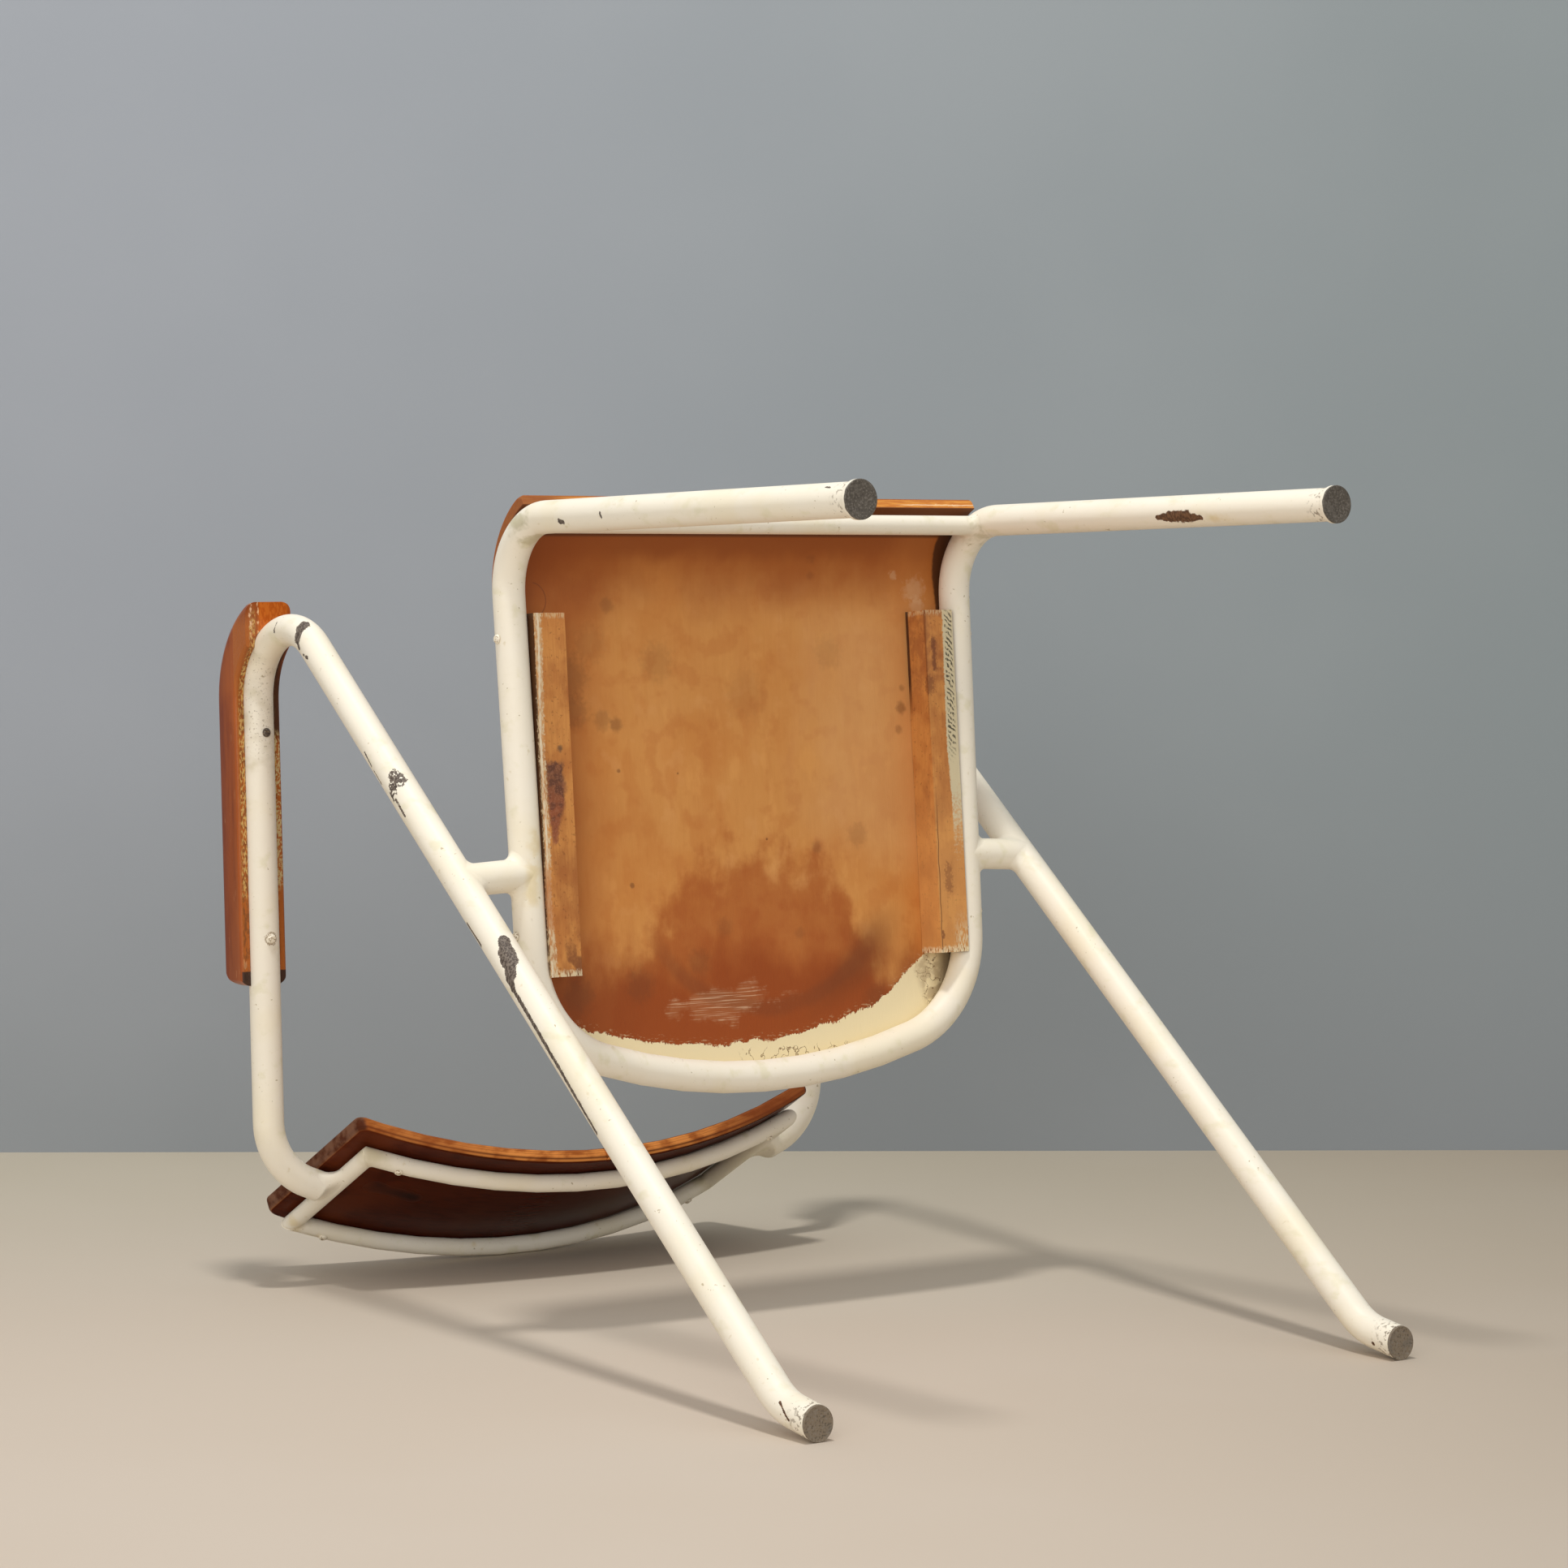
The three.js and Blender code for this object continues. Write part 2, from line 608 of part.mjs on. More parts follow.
function seatProfile() {
  const middle = plyUnderside - seatCurlRadius;
  const start = Math.PI / 2;
  const end = start + seatCurl;
  const steps = arcSteps(seatCurlOuter, seatCurl);
  return [
    new THREE.Vector2(seatRear + cutOverrun, plyUnderside),
    new THREE.Vector2(seatRear + cutOverrun, plyUnderside + seatPlyThickness),
    ...arcPoints(seatCurlStart, middle, seatCurlOuter, start, end, steps),
    ...arcPoints(seatCurlStart, middle, seatCurlRadius, end, start, steps),
  ];
}

function seatOutline() {
  const { origin, direction, corner, rear, rearCentre, centre, sideEnd, cornerTurn } = seatEdge;
  const radius = seatFrontCornerRadius;
  const frontX = origin.x + (direction.x / direction.y) * (seatFront - origin.y);
  const start = Math.atan2(-direction.x, direction.y);
  const end = start + cornerTurn;
  return [
    ...arcPoints(frontX - radius, seatFront + radius, radius, -Math.PI / 2, 0),
    sideEnd,
    ...arcPoints(centre.x, centre.y, corner, start, end).slice(1),
    ...arcPoints(rearCentre.x, rearCentre.y, rear, end, Math.PI - end).slice(1),
    ...arcPoints(-centre.x, centre.y, corner, Math.PI - end, Math.PI - start).slice(1),
    ...arcPoints(radius - frontX, seatFront + radius, radius, Math.PI, (3 * Math.PI) / 2),
  ];
}

const seatDeep = seatCurlOuter + seatPlyThickness + cutOverrun;
const seatSheetHalf = legSpacing / 2 + cutOverrun;
const seatSheet = prism(seatProfile(), 2 * seatSheetHalf, seatBack, seatUp, onSeat(-seatSheetHalf, 0));
const seatBlank = prism(seatOutline(), 2 * seatDeep, X, seatBack, onSeat(0, 0, -seatDeep));
piece('seat_plate', seatSheet.intersect(seatBlank), plySeat);

// Battens
for (const [word, side] of sides) {
  const lap = tubeRadius + battenSideGap;
  const front = side * (seatHalfWidth(battenFrontDepth) - lap);
  const rear = side * (seatHalfWidth(battenRearDepth) - lap);
  const width = side * battenWidth;
  const outline = [
    new THREE.Vector2(front, battenFrontDepth),
    new THREE.Vector2(rear, battenRearDepth),
    new THREE.Vector2(rear - width, battenRearDepth),
    new THREE.Vector2(front - width, battenFrontDepth),
  ];
  const bottom = plyUnderside - clearance - battenHeight;
  const body = prism(outline, battenHeight, X, seatBack, onSeat(0, 0, bottom)).subtract(seatFrameCut);
  piece(`seat_batten_${word}`, drilled(body, seatScrews(side)), battenWood);
}

// Plywood back: a bowed sheet in front of its frame
const backPlyRear = -(backTubeRadius + clearance);
const backPlyRearRadius = backRadius + backPlyRear;
const backPlyHalfWidth = backFrameWidth / 2 + backPlySideLap;

// The sheet's facets lie behind those of the rails, step by step, so that both keep their gap
const railStep = (2 * backTurn) / arcSteps(backRadius, 2 * backTurn);
const backPlySteps = 2 * Math.ceil(Math.asin(backPlyHalfWidth / backPlyRearRadius) / railStep);
const backPlyTurn = (backPlySteps * railStep) / 2;

function backSheetOutline() {
  const [from, to] = [Math.PI / 2 - backPlyTurn, Math.PI / 2 + backPlyTurn];
  const middle = backBow - backRadius;
  return [
    ...arcPoints(0, middle, backPlyRearRadius, from, to, backPlySteps),
    ...arcPoints(0, middle, backPlyRearRadius - backPlyThickness, to, from, backPlySteps),
  ];
}

const backPlyHeight = backFrameRise + backPlyLowerLap + backPlyUpperLap;
const backSheet = prism(backSheetOutline(), backPlyHeight, X, backRear, onBack(0, -backPlyLowerLap, 0));
const backOutline = roundedRectangle(
  -backPlyHalfWidth,
  -backPlyLowerLap,
  backPlyHalfWidth,
  backFrameRise + backPlyUpperLap,
  [backPlyLowerCornerRadius, backPlyLowerCornerRadius, backPlyUpperCornerRadius, backPlyUpperCornerRadius],
);
const backDeep = backBow + backPlyThickness + 2 * cutOverrun;
const backBlank = prism(backOutline, 2 * backDeep, X, backUp, onBack(0, 0, backDeep));
const allBackScrews = sides.flatMap(([, side]) => backScrews(side));
piece('back_plate', drilled(backSheet.intersect(backBlank), allBackScrews), plyBack);

// Armrests: a rounded section that follows the arm and its front bend, grooved for the tube
const armrestSection = new THREE.Shape(roundedRectangle(
  -armrestHeight,
  -armrestWidth / 2,
  0,
  armrestWidth / 2,
  [armrestEdgeRadius, 0, 0, armrestEdgeRadius],
));
const armrestCorners = [armrestCornerRadius, armrestCornerRadius, armrestCornerRadius, armrestCornerRadius];

for (const [word, side] of sides) {
  const rear = V(side * armX(armrestRearY), armrestRearY, armHeight);
  const along = bentStations([rear, armCorner(side), knee(side)], [bendRadius]).slice(0, -1);
  const into = armCorner(side).sub(rear).normalize();
  const out = knee(side).sub(armCorner(side)).normalize();
  const across = into.clone().cross(out).normalize();
  const swept = solid(sweep(armrestSection, along, across))
    .trimByPlane([0, 0, 1], armHeight - armrestNoseHeight);
  const { min, max } = swept.boundingBox();
  const planDepth = max[2] - min[2] + 2 * cutOverrun;
  const planOutline = roundedRectangle(min[0], min[1], max[0], max[1], armrestCorners);
  const plan = prism(planOutline, planDepth, X, Y, V(0, 0, min[2] - cutOverrun));
  const sideDepth = max[0] - min[0] + 2 * cutOverrun;
  const sideOutline = roundedRectangle(min[1], min[2], max[1], max[2], [0, 0, armrestTailRadius, 0]);
  const profile = prism(sideOutline, sideDepth, Y, Z, V(min[0] - cutOverrun, 0, 0));
  const groove = barCut(armStations(side), tubeDiameter, tubeSides);
  const body = swept.intersect(plan).intersect(profile).subtract(groove);
  piece(`armrest_${word}`, drilled(body, armrestScrews(side)), armWood);
}

// Glides
const glideStemRadius = boreFlatRadius - clearance;

function frontGlideGeometry() {
  const radius = frontGlideDiameter / 2;
  const profile = [
    new THREE.Vector2(0, 0),
    new THREE.Vector2(radius - glideChamfer, 0),
    new THREE.Vector2(radius, glideChamfer),
    new THREE.Vector2(radius, frontGlideThickness),
    new THREE.Vector2(glideStemRadius, frontGlideThickness),
    new THREE.Vector2(glideStemRadius, frontGlideThickness + glideStemLength),
    new THREE.Vector2(0, frontGlideThickness + glideStemLength),
  ];
  const turned = new THREE.LatheGeometry(profile, tubeSides);
  turned.rotateX(Math.PI / 2);
  return geometryOf(solid(turned));
}

function rearGlideGeometry() {
  const ends = [V(0, 0, 0), V(0, 0, 0)];
  ends[0].addScaledVector(footDirection, cutOverrun);
  ends[1].addScaledVector(footDirection, -(cutOverrun + glideStemLength));
  const stations = bentStations([ends[1], ends[0]], []);
  const sole = solid(sweep(new THREE.Shape(circlePoints(tubeRadius, tubeSides)), stations))
    .trimByPlane([0, 0, 1], 0)
    .trimByPlane([0, 0, -1], -rearGlideThickness);
  const stem = solid(sweep(new THREE.Shape(circlePoints(glideStemRadius, tubeSides)), stations))
    .trimByPlane([0, 0, 1], 0)
    .trimByPlane([0, 0, -1], -rearGlideThickness - glideStemLength);
  return geometryOf(sole.add(stem));
}

for (const [word, side] of sides) {
  const front = piece(`foot_glide_front_${word}`, frontGlideGeometry(), glidePlastic);
  front.position.set((side * frontFootSpacing) / 2, frontFootY, 0);
  const rear = piece(`foot_glide_rear_${word}`, rearGlideGeometry(), glidePlastic);
  rear.position.set((side * armSpacing) / 2, rearFootY, 0);
}

// Screws, slotted, their heads outside the tubes
function slottedScrew(length) {
  const slot = new THREE.BoxGeometry(screwHeadDiameter + cutOverrun, screwSlotWidth, 2 * screwSlotDepth);
  slot.translate(0, 0, -screwHeadHeight);
  return geometryOf(screwGeometry(length).subtract(solid(slot)));
}

function placeScrew(name, { place, direction, length }) {
  const screw = piece(name, slottedScrew(length), screwSteel);
  screw.position.copy(place);
  screw.quaternion.setFromUnitVectors(Z, direction);
}

for (const [word, side] of sides) {
  for (const [i, end] of ['front', 'rear'].entries()) {
    placeScrew(`armrest_screw_${word}_${end}`, armrestScrews(side)[i]);
    placeScrew(`seat_screw_${word}_${end}`, seatScrews(side)[i]);
  }
  for (const [i, end] of ['lower', 'upper'].entries()) {
    placeScrew(`back_screw_${word}_${end}`, backScrews(side)[i]);
  }
}

// The origin lies on the floor, under the middle of the whole chair
const extent = new THREE.Box3().setFromObject(chair);
const centre = extent.getCenter(new THREE.Vector3());
chair.position.set(-centre.x, -centre.y, -extent.min.z);

export default chair;
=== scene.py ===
# %% [markdown]
# # An armchair of bent steel tube and plywood
#
# The photograph shows the chair lying on its back, so the camera looks up at the seat from
# below. The solid model of the chair is already made and packed. It stands upright, it
# doesn't move, and every length in it is real. This lesson dresses it: each piece that
# shows is modelled again with finer curves, and gets paint, varnish, wear and rust.
#
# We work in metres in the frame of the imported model. The sitter faces -Y, +X is the
# sitter's left and +Z is up. Sizes that the solids already have are written again here by
# name, so that a fine piece lies exactly where its solid is.

# %% Load the solid model
import math
import bpy
from mathutils import Matrix, Quaternion, Vector


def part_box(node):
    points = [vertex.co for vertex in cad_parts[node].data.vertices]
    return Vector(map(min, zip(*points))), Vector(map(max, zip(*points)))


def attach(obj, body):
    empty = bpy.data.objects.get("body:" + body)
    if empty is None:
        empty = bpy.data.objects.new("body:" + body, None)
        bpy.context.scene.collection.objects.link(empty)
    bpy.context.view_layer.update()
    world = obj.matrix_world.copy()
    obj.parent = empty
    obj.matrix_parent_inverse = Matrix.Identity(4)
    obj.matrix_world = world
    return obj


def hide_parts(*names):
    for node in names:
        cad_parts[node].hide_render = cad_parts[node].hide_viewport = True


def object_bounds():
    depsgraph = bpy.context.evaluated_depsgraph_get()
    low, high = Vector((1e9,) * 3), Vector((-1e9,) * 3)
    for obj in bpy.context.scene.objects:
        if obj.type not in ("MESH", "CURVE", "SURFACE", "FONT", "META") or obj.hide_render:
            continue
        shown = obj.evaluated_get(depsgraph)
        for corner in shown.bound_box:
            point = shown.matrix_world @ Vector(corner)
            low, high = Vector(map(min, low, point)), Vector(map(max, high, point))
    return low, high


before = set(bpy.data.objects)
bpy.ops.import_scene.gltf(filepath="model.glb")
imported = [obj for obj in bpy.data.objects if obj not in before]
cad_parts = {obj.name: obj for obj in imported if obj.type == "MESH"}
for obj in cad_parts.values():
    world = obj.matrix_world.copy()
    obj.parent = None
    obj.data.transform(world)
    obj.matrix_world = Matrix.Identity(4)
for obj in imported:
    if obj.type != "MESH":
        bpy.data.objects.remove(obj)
cad_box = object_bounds()
corners = [[round(c, 4) for c in corner] for corner in cad_box]
print("solid model:", len(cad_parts), "nodes, corners", corners)

# %% [markdown]
# ## Where things are
#
# Two places of the solid model anchor everything else: the front feet and the floor. The
# front legs reach back 4 mm from the seat to the feet, so the line through the tops of the
# legs lies that far in front of the feet.

# %% The legs' line
X, Y, Z = Vector((1, 0, 0)), Vector((0, 1, 0)), Vector((0, 0, 1))
front_foot_back = 0.004
glide_low, glide_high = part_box("foot_glide_front_right")
legs_y = (glide_low.y + glide_high.y) / 2 - front_foot_back
print("front legs' line at y", round(legs_y, 5))


def at(x, y, z):
    """A place, its y counted from the line of the front legs."""
    return Vector((x, y + legs_y, z))


# %% [markdown]
# ## Working by operators
#
# An operator acts on whatever is selected, and the loaded solids come in selected. So the
# first helper deselects everything, and each primitive starts from there. A finished
# piece keeps its place in its mesh: its object sits at the origin, unturned.

# %% Helpers for selecting
def deselect():
    if bpy.context.object and bpy.context.object.mode != "OBJECT":
        bpy.ops.object.mode_set(mode="OBJECT")
    bpy.ops.object.select_all(action="DESELECT")


def activate(piece):
    deselect()
    piece.select_set(True)
    bpy.context.view_layer.objects.active = piece


def named(name):
    """The primitive just added: named, with its place and turn put into its mesh."""
    piece = bpy.context.object
    piece.name = piece.data.name = name
    bpy.ops.object.transform_apply(location=True, rotation=True, scale=True)
    return piece


def pick_faces(piece, numbers):
    """Goes into edit mode with only the numbered faces selected."""
    activate(piece)
    bpy.ops.object.mode_set(mode="EDIT")
    bpy.ops.mesh.select_all(action="DESELECT")
    bpy.ops.object.mode_set(mode="OBJECT")
    for number in numbers:
        piece.data.polygons[number].select = True
    bpy.ops.object.mode_set(mode="EDIT")
    bpy.ops.mesh.select_mode(type="FACE")


def leave_faces():
    bpy.ops.mesh.select_mode(type="VERT")
    bpy.ops.object.mode_set(mode="OBJECT")


def placed_along(place, *axes):
    """The transform that lays x, y and z along three axes, at a place."""
    return Matrix.Translation(place) @ Matrix(axes).transposed().to_4x4()


# %% Helpers that close, cut and join
def apply_modifiers(piece):
    activate(piece)
    for modifier in list(piece.modifiers):
        bpy.ops.object.modifier_apply(modifier=modifier.name)


def close(piece, smooth_degrees=35):
    """Closes the holes, turns all faces outward and shades the piece smooth."""
    activate(piece)
    bpy.ops.object.mode_set(mode="EDIT")
    bpy.ops.mesh.select_all(action="SELECT")
    bpy.ops.mesh.remove_doubles(threshold=1e-6)
    bpy.ops.mesh.fill_holes(sides=0)
    bpy.ops.mesh.normals_make_consistent(inside=False)
    bpy.ops.object.mode_set(mode="OBJECT")
    bpy.ops.object.shade_smooth_by_angle(angle=math.radians(smooth_degrees))
    return piece


def slice_off(piece, place, outward):
    """Cuts away what lies beyond a plane and closes the cut."""
    activate(piece)
    bpy.ops.object.mode_set(mode="EDIT")
    bpy.ops.mesh.select_all(action="SELECT")
    bpy.ops.mesh.bisect(plane_co=place, plane_no=outward, use_fill=True, clear_outer=True)
    bpy.ops.object.mode_set(mode="OBJECT")


def copy_of(piece, name):
    twin = piece.copy()
    twin.data = piece.data.copy()
    twin.name = twin.data.name = name
    bpy.context.collection.objects.link(twin)
    return twin


def combine(piece, tool, operation):
    """Cuts, keeps or joins by another closed shape, which is used up."""
    modifier = piece.modifiers.new("combine", "BOOLEAN")
    modifier.object, modifier.operation, modifier.solver = tool, operation, "EXACT"
    apply_modifiers(piece)
    bpy.data.objects.remove(tool)


def soften(piece, width, segments=2, degrees=40):
    """Rounds the edges that are sharper than an angle."""
    modifier = piece.modifiers.new("soften", "BEVEL")
    modifier.width, modifier.segments = width, segments
    modifier.limit_method, modifier.angle_limit = "ANGLE", math.radians(degrees)
    apply_modifiers(piece)


# %% [markdown]
# ## A pen that bends like a tube bender
#
# A tube bender does two things: it feeds the tube straight on, and it bends it round a die.
# The same two moves exist in edit mode. Extrude pushes the selected ring straight on, and
# Spin carries it round a centre. A pen that remembers its place and heading turns them into
# a tool for the whole chair. With a circle in its tip it draws tubes, with one vertex it
# draws outlines, and with one edge it draws sheets.

# %% The pen
bend_step = math.radians(4)


class Pen:
    def __init__(self, name, place, heading):
        self.name, self.place = name, Vector(place)
        self.heading = Vector(heading).normalized()

    def ring(self, radius, sides=40):
        deselect()
        turn = self.heading.to_track_quat("Z", "Y").to_euler()
        bpy.ops.mesh.primitive_circle_add(
            vertices=sides, radius=radius, location=self.place, rotation=turn
        )
        return self.start()

    def point(self):
        """A plane merged into one vertex."""
        deselect()
        bpy.ops.mesh.primitive_plane_add(size=0.01, location=self.place)
        self.start()
        bpy.ops.mesh.merge(type="CENTER")
        return self

    def edge(self, along, length):
        """A plane squeezed into one edge, centred on the pen's place."""
        deselect()
        turn = Vector(along).to_track_quat("X", "Y").to_euler()
        bpy.ops.mesh.primitive_plane_add(size=1, location=self.place, rotation=turn)
        bpy.context.object.scale = (length, 0, 1)
        self.start()
        bpy.ops.mesh.remove_doubles(threshold=1e-6)
        bpy.ops.mesh.select_all(action="SELECT")
        return self

    def start(self):
        self.piece = named(self.name)
        bpy.ops.object.mode_set(mode="EDIT")
        bpy.ops.mesh.select_all(action="SELECT")
        return self

    def straight(self, length):
        step = self.heading * length
        bpy.ops.mesh.extrude_region_move(TRANSFORM_OT_translate={"value": step})
        self.place = self.place + step
        return self

    def bend(self, radius, angle, axis):
        """Turns by an angle about an axis, right-handed. Spin itself turns the other way."""
        axis = Vector(axis).normalized()
        centre = self.place + axis.cross(self.heading) * radius
        steps = max(3, round(abs(angle) / bend_step))
        bpy.ops.mesh.spin(steps=steps, angle=-angle, center=centre, axis=axis)
        turn = Quaternion(axis, angle)
        self.place = centre + turn @ (self.place - centre)
        self.heading = turn @ self.heading
        return self

    def through(self, corners, radii):
        """Runs along a line of corners, with a bend of its own radius at each inner one."""
        for corner, after, radius in zip(corners, corners[1:], radii):
            out = (after - corner).normalized()
            turn = self.heading.angle(out)
            reach = radius * math.tan(turn / 2)
            self.straight((corner - self.place).length - reach)
            self.bend(radius, turn, self.heading.cross(out))
        return self.straight((corners[-1] - self.place).length)

    def lift(self):
        bpy.ops.object.mode_set(mode="OBJECT")
        return self.piece


# %% Filling an outline
def fill_outline(merge_distance=1e-6):
    """Joins the ends of the outline just drawn and fills it with one face."""
    bpy.ops.mesh.select_all(action="SELECT")
    bpy.ops.mesh.remove_doubles(threshold=merge_distance)
    bpy.ops.mesh.select_all(action="SELECT")
    bpy.ops.mesh.edge_face_add()


def filled_prism(pen, depth):
    """The closed outline that a pen has drawn, filled and extruded into a block."""
    fill_outline()
    bpy.ops.mesh.extrude_region_move(TRANSFORM_OT_translate={"value": depth})
    return close(pen.lift())


# %% [markdown]
# ## The seat frame
#
# Two front legs and the loop under the seat are one long tube, 24 mm thick. It rises from
# the right front foot, turns back over a die of 53 mm, runs along the seat, goes round the
# rear in three arcs and comes back the same way. The seat falls 3 degrees to the rear, so
# the loop is drawn in a tilted plane. The two rear corners touch both the side line and
# the large rear arc, and a little geometry says where.

# %% The seat's plane
tube_radius = 0.012
bend_radius = 0.053
leg_spacing = 0.416
foot_splay = 0.004
seat_height = 0.431
seat_slope = math.radians(3)
seat_depth = 0.418
side_draw = 0.006
corner_inset = 0.043
corner_radius = 0.082
rear_radius = 0.500
seat_back = Vector((0, math.cos(seat_slope), -math.sin(seat_slope)))
seat_up = Vector((0, math.sin(seat_slope), math.cos(seat_slope)))
side_taper = side_draw / (seat_depth - corner_inset)


def on_seat(x, along, above=0.0):
    return at(x, 0, seat_height) + seat_back * along + seat_up * above


def seat_half_width(along):
    return leg_spacing / 2 - side_taper * along


print("the seat frame's rear is", round(on_seat(0, seat_depth).z, 4), "m up")


# %% Where the rear corners lie
def seat_corner(side_offset=0.0, rear_offset=0.0):
    """The side line's end, the corner's turn, half the rear arc's turn and the line's start."""
    direction = Vector((-side_taper, 1)).normalized()
    inward = Vector((-direction.y, direction.x))
    origin = Vector((leg_spacing / 2, 0)) - inward * side_offset
    corner, rear = corner_radius + side_offset, rear_radius + rear_offset
    rear_centre = Vector((0, seat_depth - rear_radius))
    start = origin + inward * corner - rear_centre
    half = start.dot(direction)
    along = -half + math.sqrt(half * half - start.length_squared + (rear - corner) ** 2)
    centre = start + direction * along + rear_centre
    side_end = centre - inward * corner
    spoke = (centre - rear_centre).normalized()
    return side_end, math.acos(-spoke.dot(inward)), math.atan2(spoke.x, spoke.y), origin


side_end, corner_turn, rear_turn, _ = seat_corner()
print("rear corner starts", round(side_end.y, 4), "m along the seat")
print("it turns", round(math.degrees(corner_turn), 1), "degrees")

# %% Draw the seat frame
tube_end_height = 0.0053
leg_top = at(-leg_spacing / 2, 0, seat_height)
leg_foot = at(-leg_spacing / 2 - foot_splay, front_foot_back, 0)
leg_start = leg_foot.lerp(leg_top, tube_end_height / seat_height)
first_side_end = on_seat(-side_end.x, side_end.y)
side_line = (first_side_end - leg_top).normalized()

pen = Pen("tube_seat_frame", leg_start, leg_top - leg_start).ring(tube_radius)
front_turn = pen.heading.angle(side_line)
front_axis = pen.heading.cross(side_line)
bend_reach = bend_radius * math.tan(front_turn / 2)
leg_run = (leg_top - leg_start).length - bend_reach
side_run = (first_side_end - leg_top).length - bend_reach
pen.straight(leg_run).bend(bend_radius, front_turn, front_axis).straight(side_run)
pen.bend(corner_radius, corner_turn, -seat_up)
pen.bend(rear_radius, 2 * rear_turn, -seat_up)
pen.bend(corner_radius, corner_turn, -seat_up)
pen.straight(side_run)
mirrored_axis = Vector((front_axis.x, -front_axis.y, -front_axis.z))
pen.bend(bend_radius, front_turn, -mirrored_axis).straight(leg_run)
seat_frame = close(pen.lift())
print("seat frame ends at", [round(c, 4) for c in pen.place])

# %% [markdown]
# ## Arms and rear legs
#
# On each side one tube makes the rear foot, the rear leg, the arm and the hook that meets
# the back. We start below the floor and slice the foot off level, as a real foot is sawn.
# The hook's end is cut back where it would stick out behind the thin upright.

# %% Sizes of the arms and the back
arm_height = 0.701
arm_corner_y = 0.011
arm_outset = 0.053
arm_draw = 0.0025
arm_rear_y = 0.488
hook_slant = 0.020
hook_proud = 0.0085
hook_behind = 0.0025
hook_bevel = math.radians(40)
knee_y = 0.595
knee_height = 0.038
foot_kick = 0.008
back_inset = 0.0585
back_drop = 0.049
back_rake = math.radians(27.5)
back_rise = 0.130
back_bow = 0.038
back_tube_radius = 0.007
arm_x = leg_spacing / 2 + arm_outset
arm_rear_x = arm_x - arm_draw
back_half = arm_rear_x - back_inset
hook_y = arm_rear_y + hook_slant
back_y = hook_y - hook_behind - back_drop * math.tan(back_rake)
back_up = Vector((0, math.sin(back_rake), math.cos(back_rake)))
back_rear = Vector((0, math.cos(back_rake), -math.sin(back_rake)))
bow_radius = (back_half ** 2 + back_bow ** 2) / (2 * back_bow)
bow_turn = math.asin(back_half / bow_radius)
hook_rise = back_drop / math.cos(back_rake)
sides = (("right", -1), ("left", 1))


def on_back(x, up, behind):
    return at(x, back_y, arm_height - back_drop) + back_up * up + back_rear * behind


def on_bow(angle, up, behind):
    """A place on the bowed back: angle from the middle, distance up, distance behind."""
    radius = bow_radius + behind
    return on_back(radius * math.sin(angle), up, back_bow - bow_radius + radius * math.cos(angle))


print("the back starts", round(back_y, 4), "m behind the front legs")
print("it meets the arms", round(hook_rise, 4), "m up its own plane")

# %% Draw the arms
beyond = 0.030
foot_direction = Vector((0, foot_kick, -knee_height)).normalized()
cutter_size = 0.048
hook_round, cut_degrees = 0.0030, 32
arm_tube_end_height = 0.002

def arm_places(side):
    foot = at(side * arm_x, knee_y + foot_kick, 0) + foot_direction * beyond
    return (
        foot,
        at(side * arm_x, knee_y, knee_height),
        at(side * arm_x, arm_corner_y, arm_height),
        at(side * arm_rear_x, arm_rear_y, arm_height),
        at(side * (back_half + hook_proud), hook_y, arm_height),
    )


def tube_of_arm(name, side, radius):
    places = arm_places(side)
    pen = Pen(name, places[0], places[1] - places[0]).ring(radius)
    pen.through(places[1:], [bend_radius] * 3)
    return close(pen.lift())


def hook_cutter(side):
    """A block that takes off the corner behind the upright."""
    out = X * side * math.cos(hook_bevel) - back_rear * math.sin(hook_bevel)
    deselect()
    bpy.ops.mesh.primitive_cube_add(size=cutter_size)
    place = on_back(side * back_half, hook_rise, 0)
    place = place + out * (back_tube_radius - cutter_size / 2)
    bpy.context.object.matrix_world = placed_along(place, out, back_up.cross(out), back_up)
    return named("hook_cutter")


arms = {}
for word, side in sides:
    arm = tube_of_arm(f"tube_arm_{word}", side, tube_radius)
    combine(arm, hook_cutter(side), "DIFFERENCE")
    soften(close(arm), hook_round, 4, cut_degrees)
    slice_off(arm, (0, 0, arm_tube_end_height), -Z)
    arms[word] = close(arm)
    print(arm.name, "is", len(arm.data.polygons), "faces")

# %% [markdown]
# ## Spacers, front rail and back frame
#
# Short tubes hold the rear legs to the seat frame, a thin rail crosses the top of the front
# legs, and the back's frame is four lengths of 14 mm tube. Their ends run into the tubes
# that they are welded to, because the welds will hide the meeting lines. The two bowed
# rails are mitred against the uprights, so their corners are sliced at half the angle.

# %% Straight tubes
def straight_tube(name, start, end, radius, sides=32):
    pen = Pen(name, start, end - start).ring(radius, sides)
    return close(pen.straight((end - start).length).lift())


leg_slope = (knee_y - arm_corner_y) / (arm_height - knee_height)
spacer_lead = 0.003
passing = arm_corner_y + (arm_height - seat_height) * leg_slope
spacer_depth = passing / (math.cos(seat_slope) - math.sin(seat_slope) * leg_slope) - spacer_lead
spacers = {}
for word, side in sides:
    inner = on_seat(side * seat_half_width(spacer_depth), spacer_depth)
    share = (arm_height - inner.z) / (arm_height - knee_height)
    outer = arm_places(side)[2].lerp(arm_places(side)[1], share)
    spacer = straight_tube(f"tube_spacer_{word}", inner, outer, tube_radius)
    spacers[word] = (spacer, inner, outer)

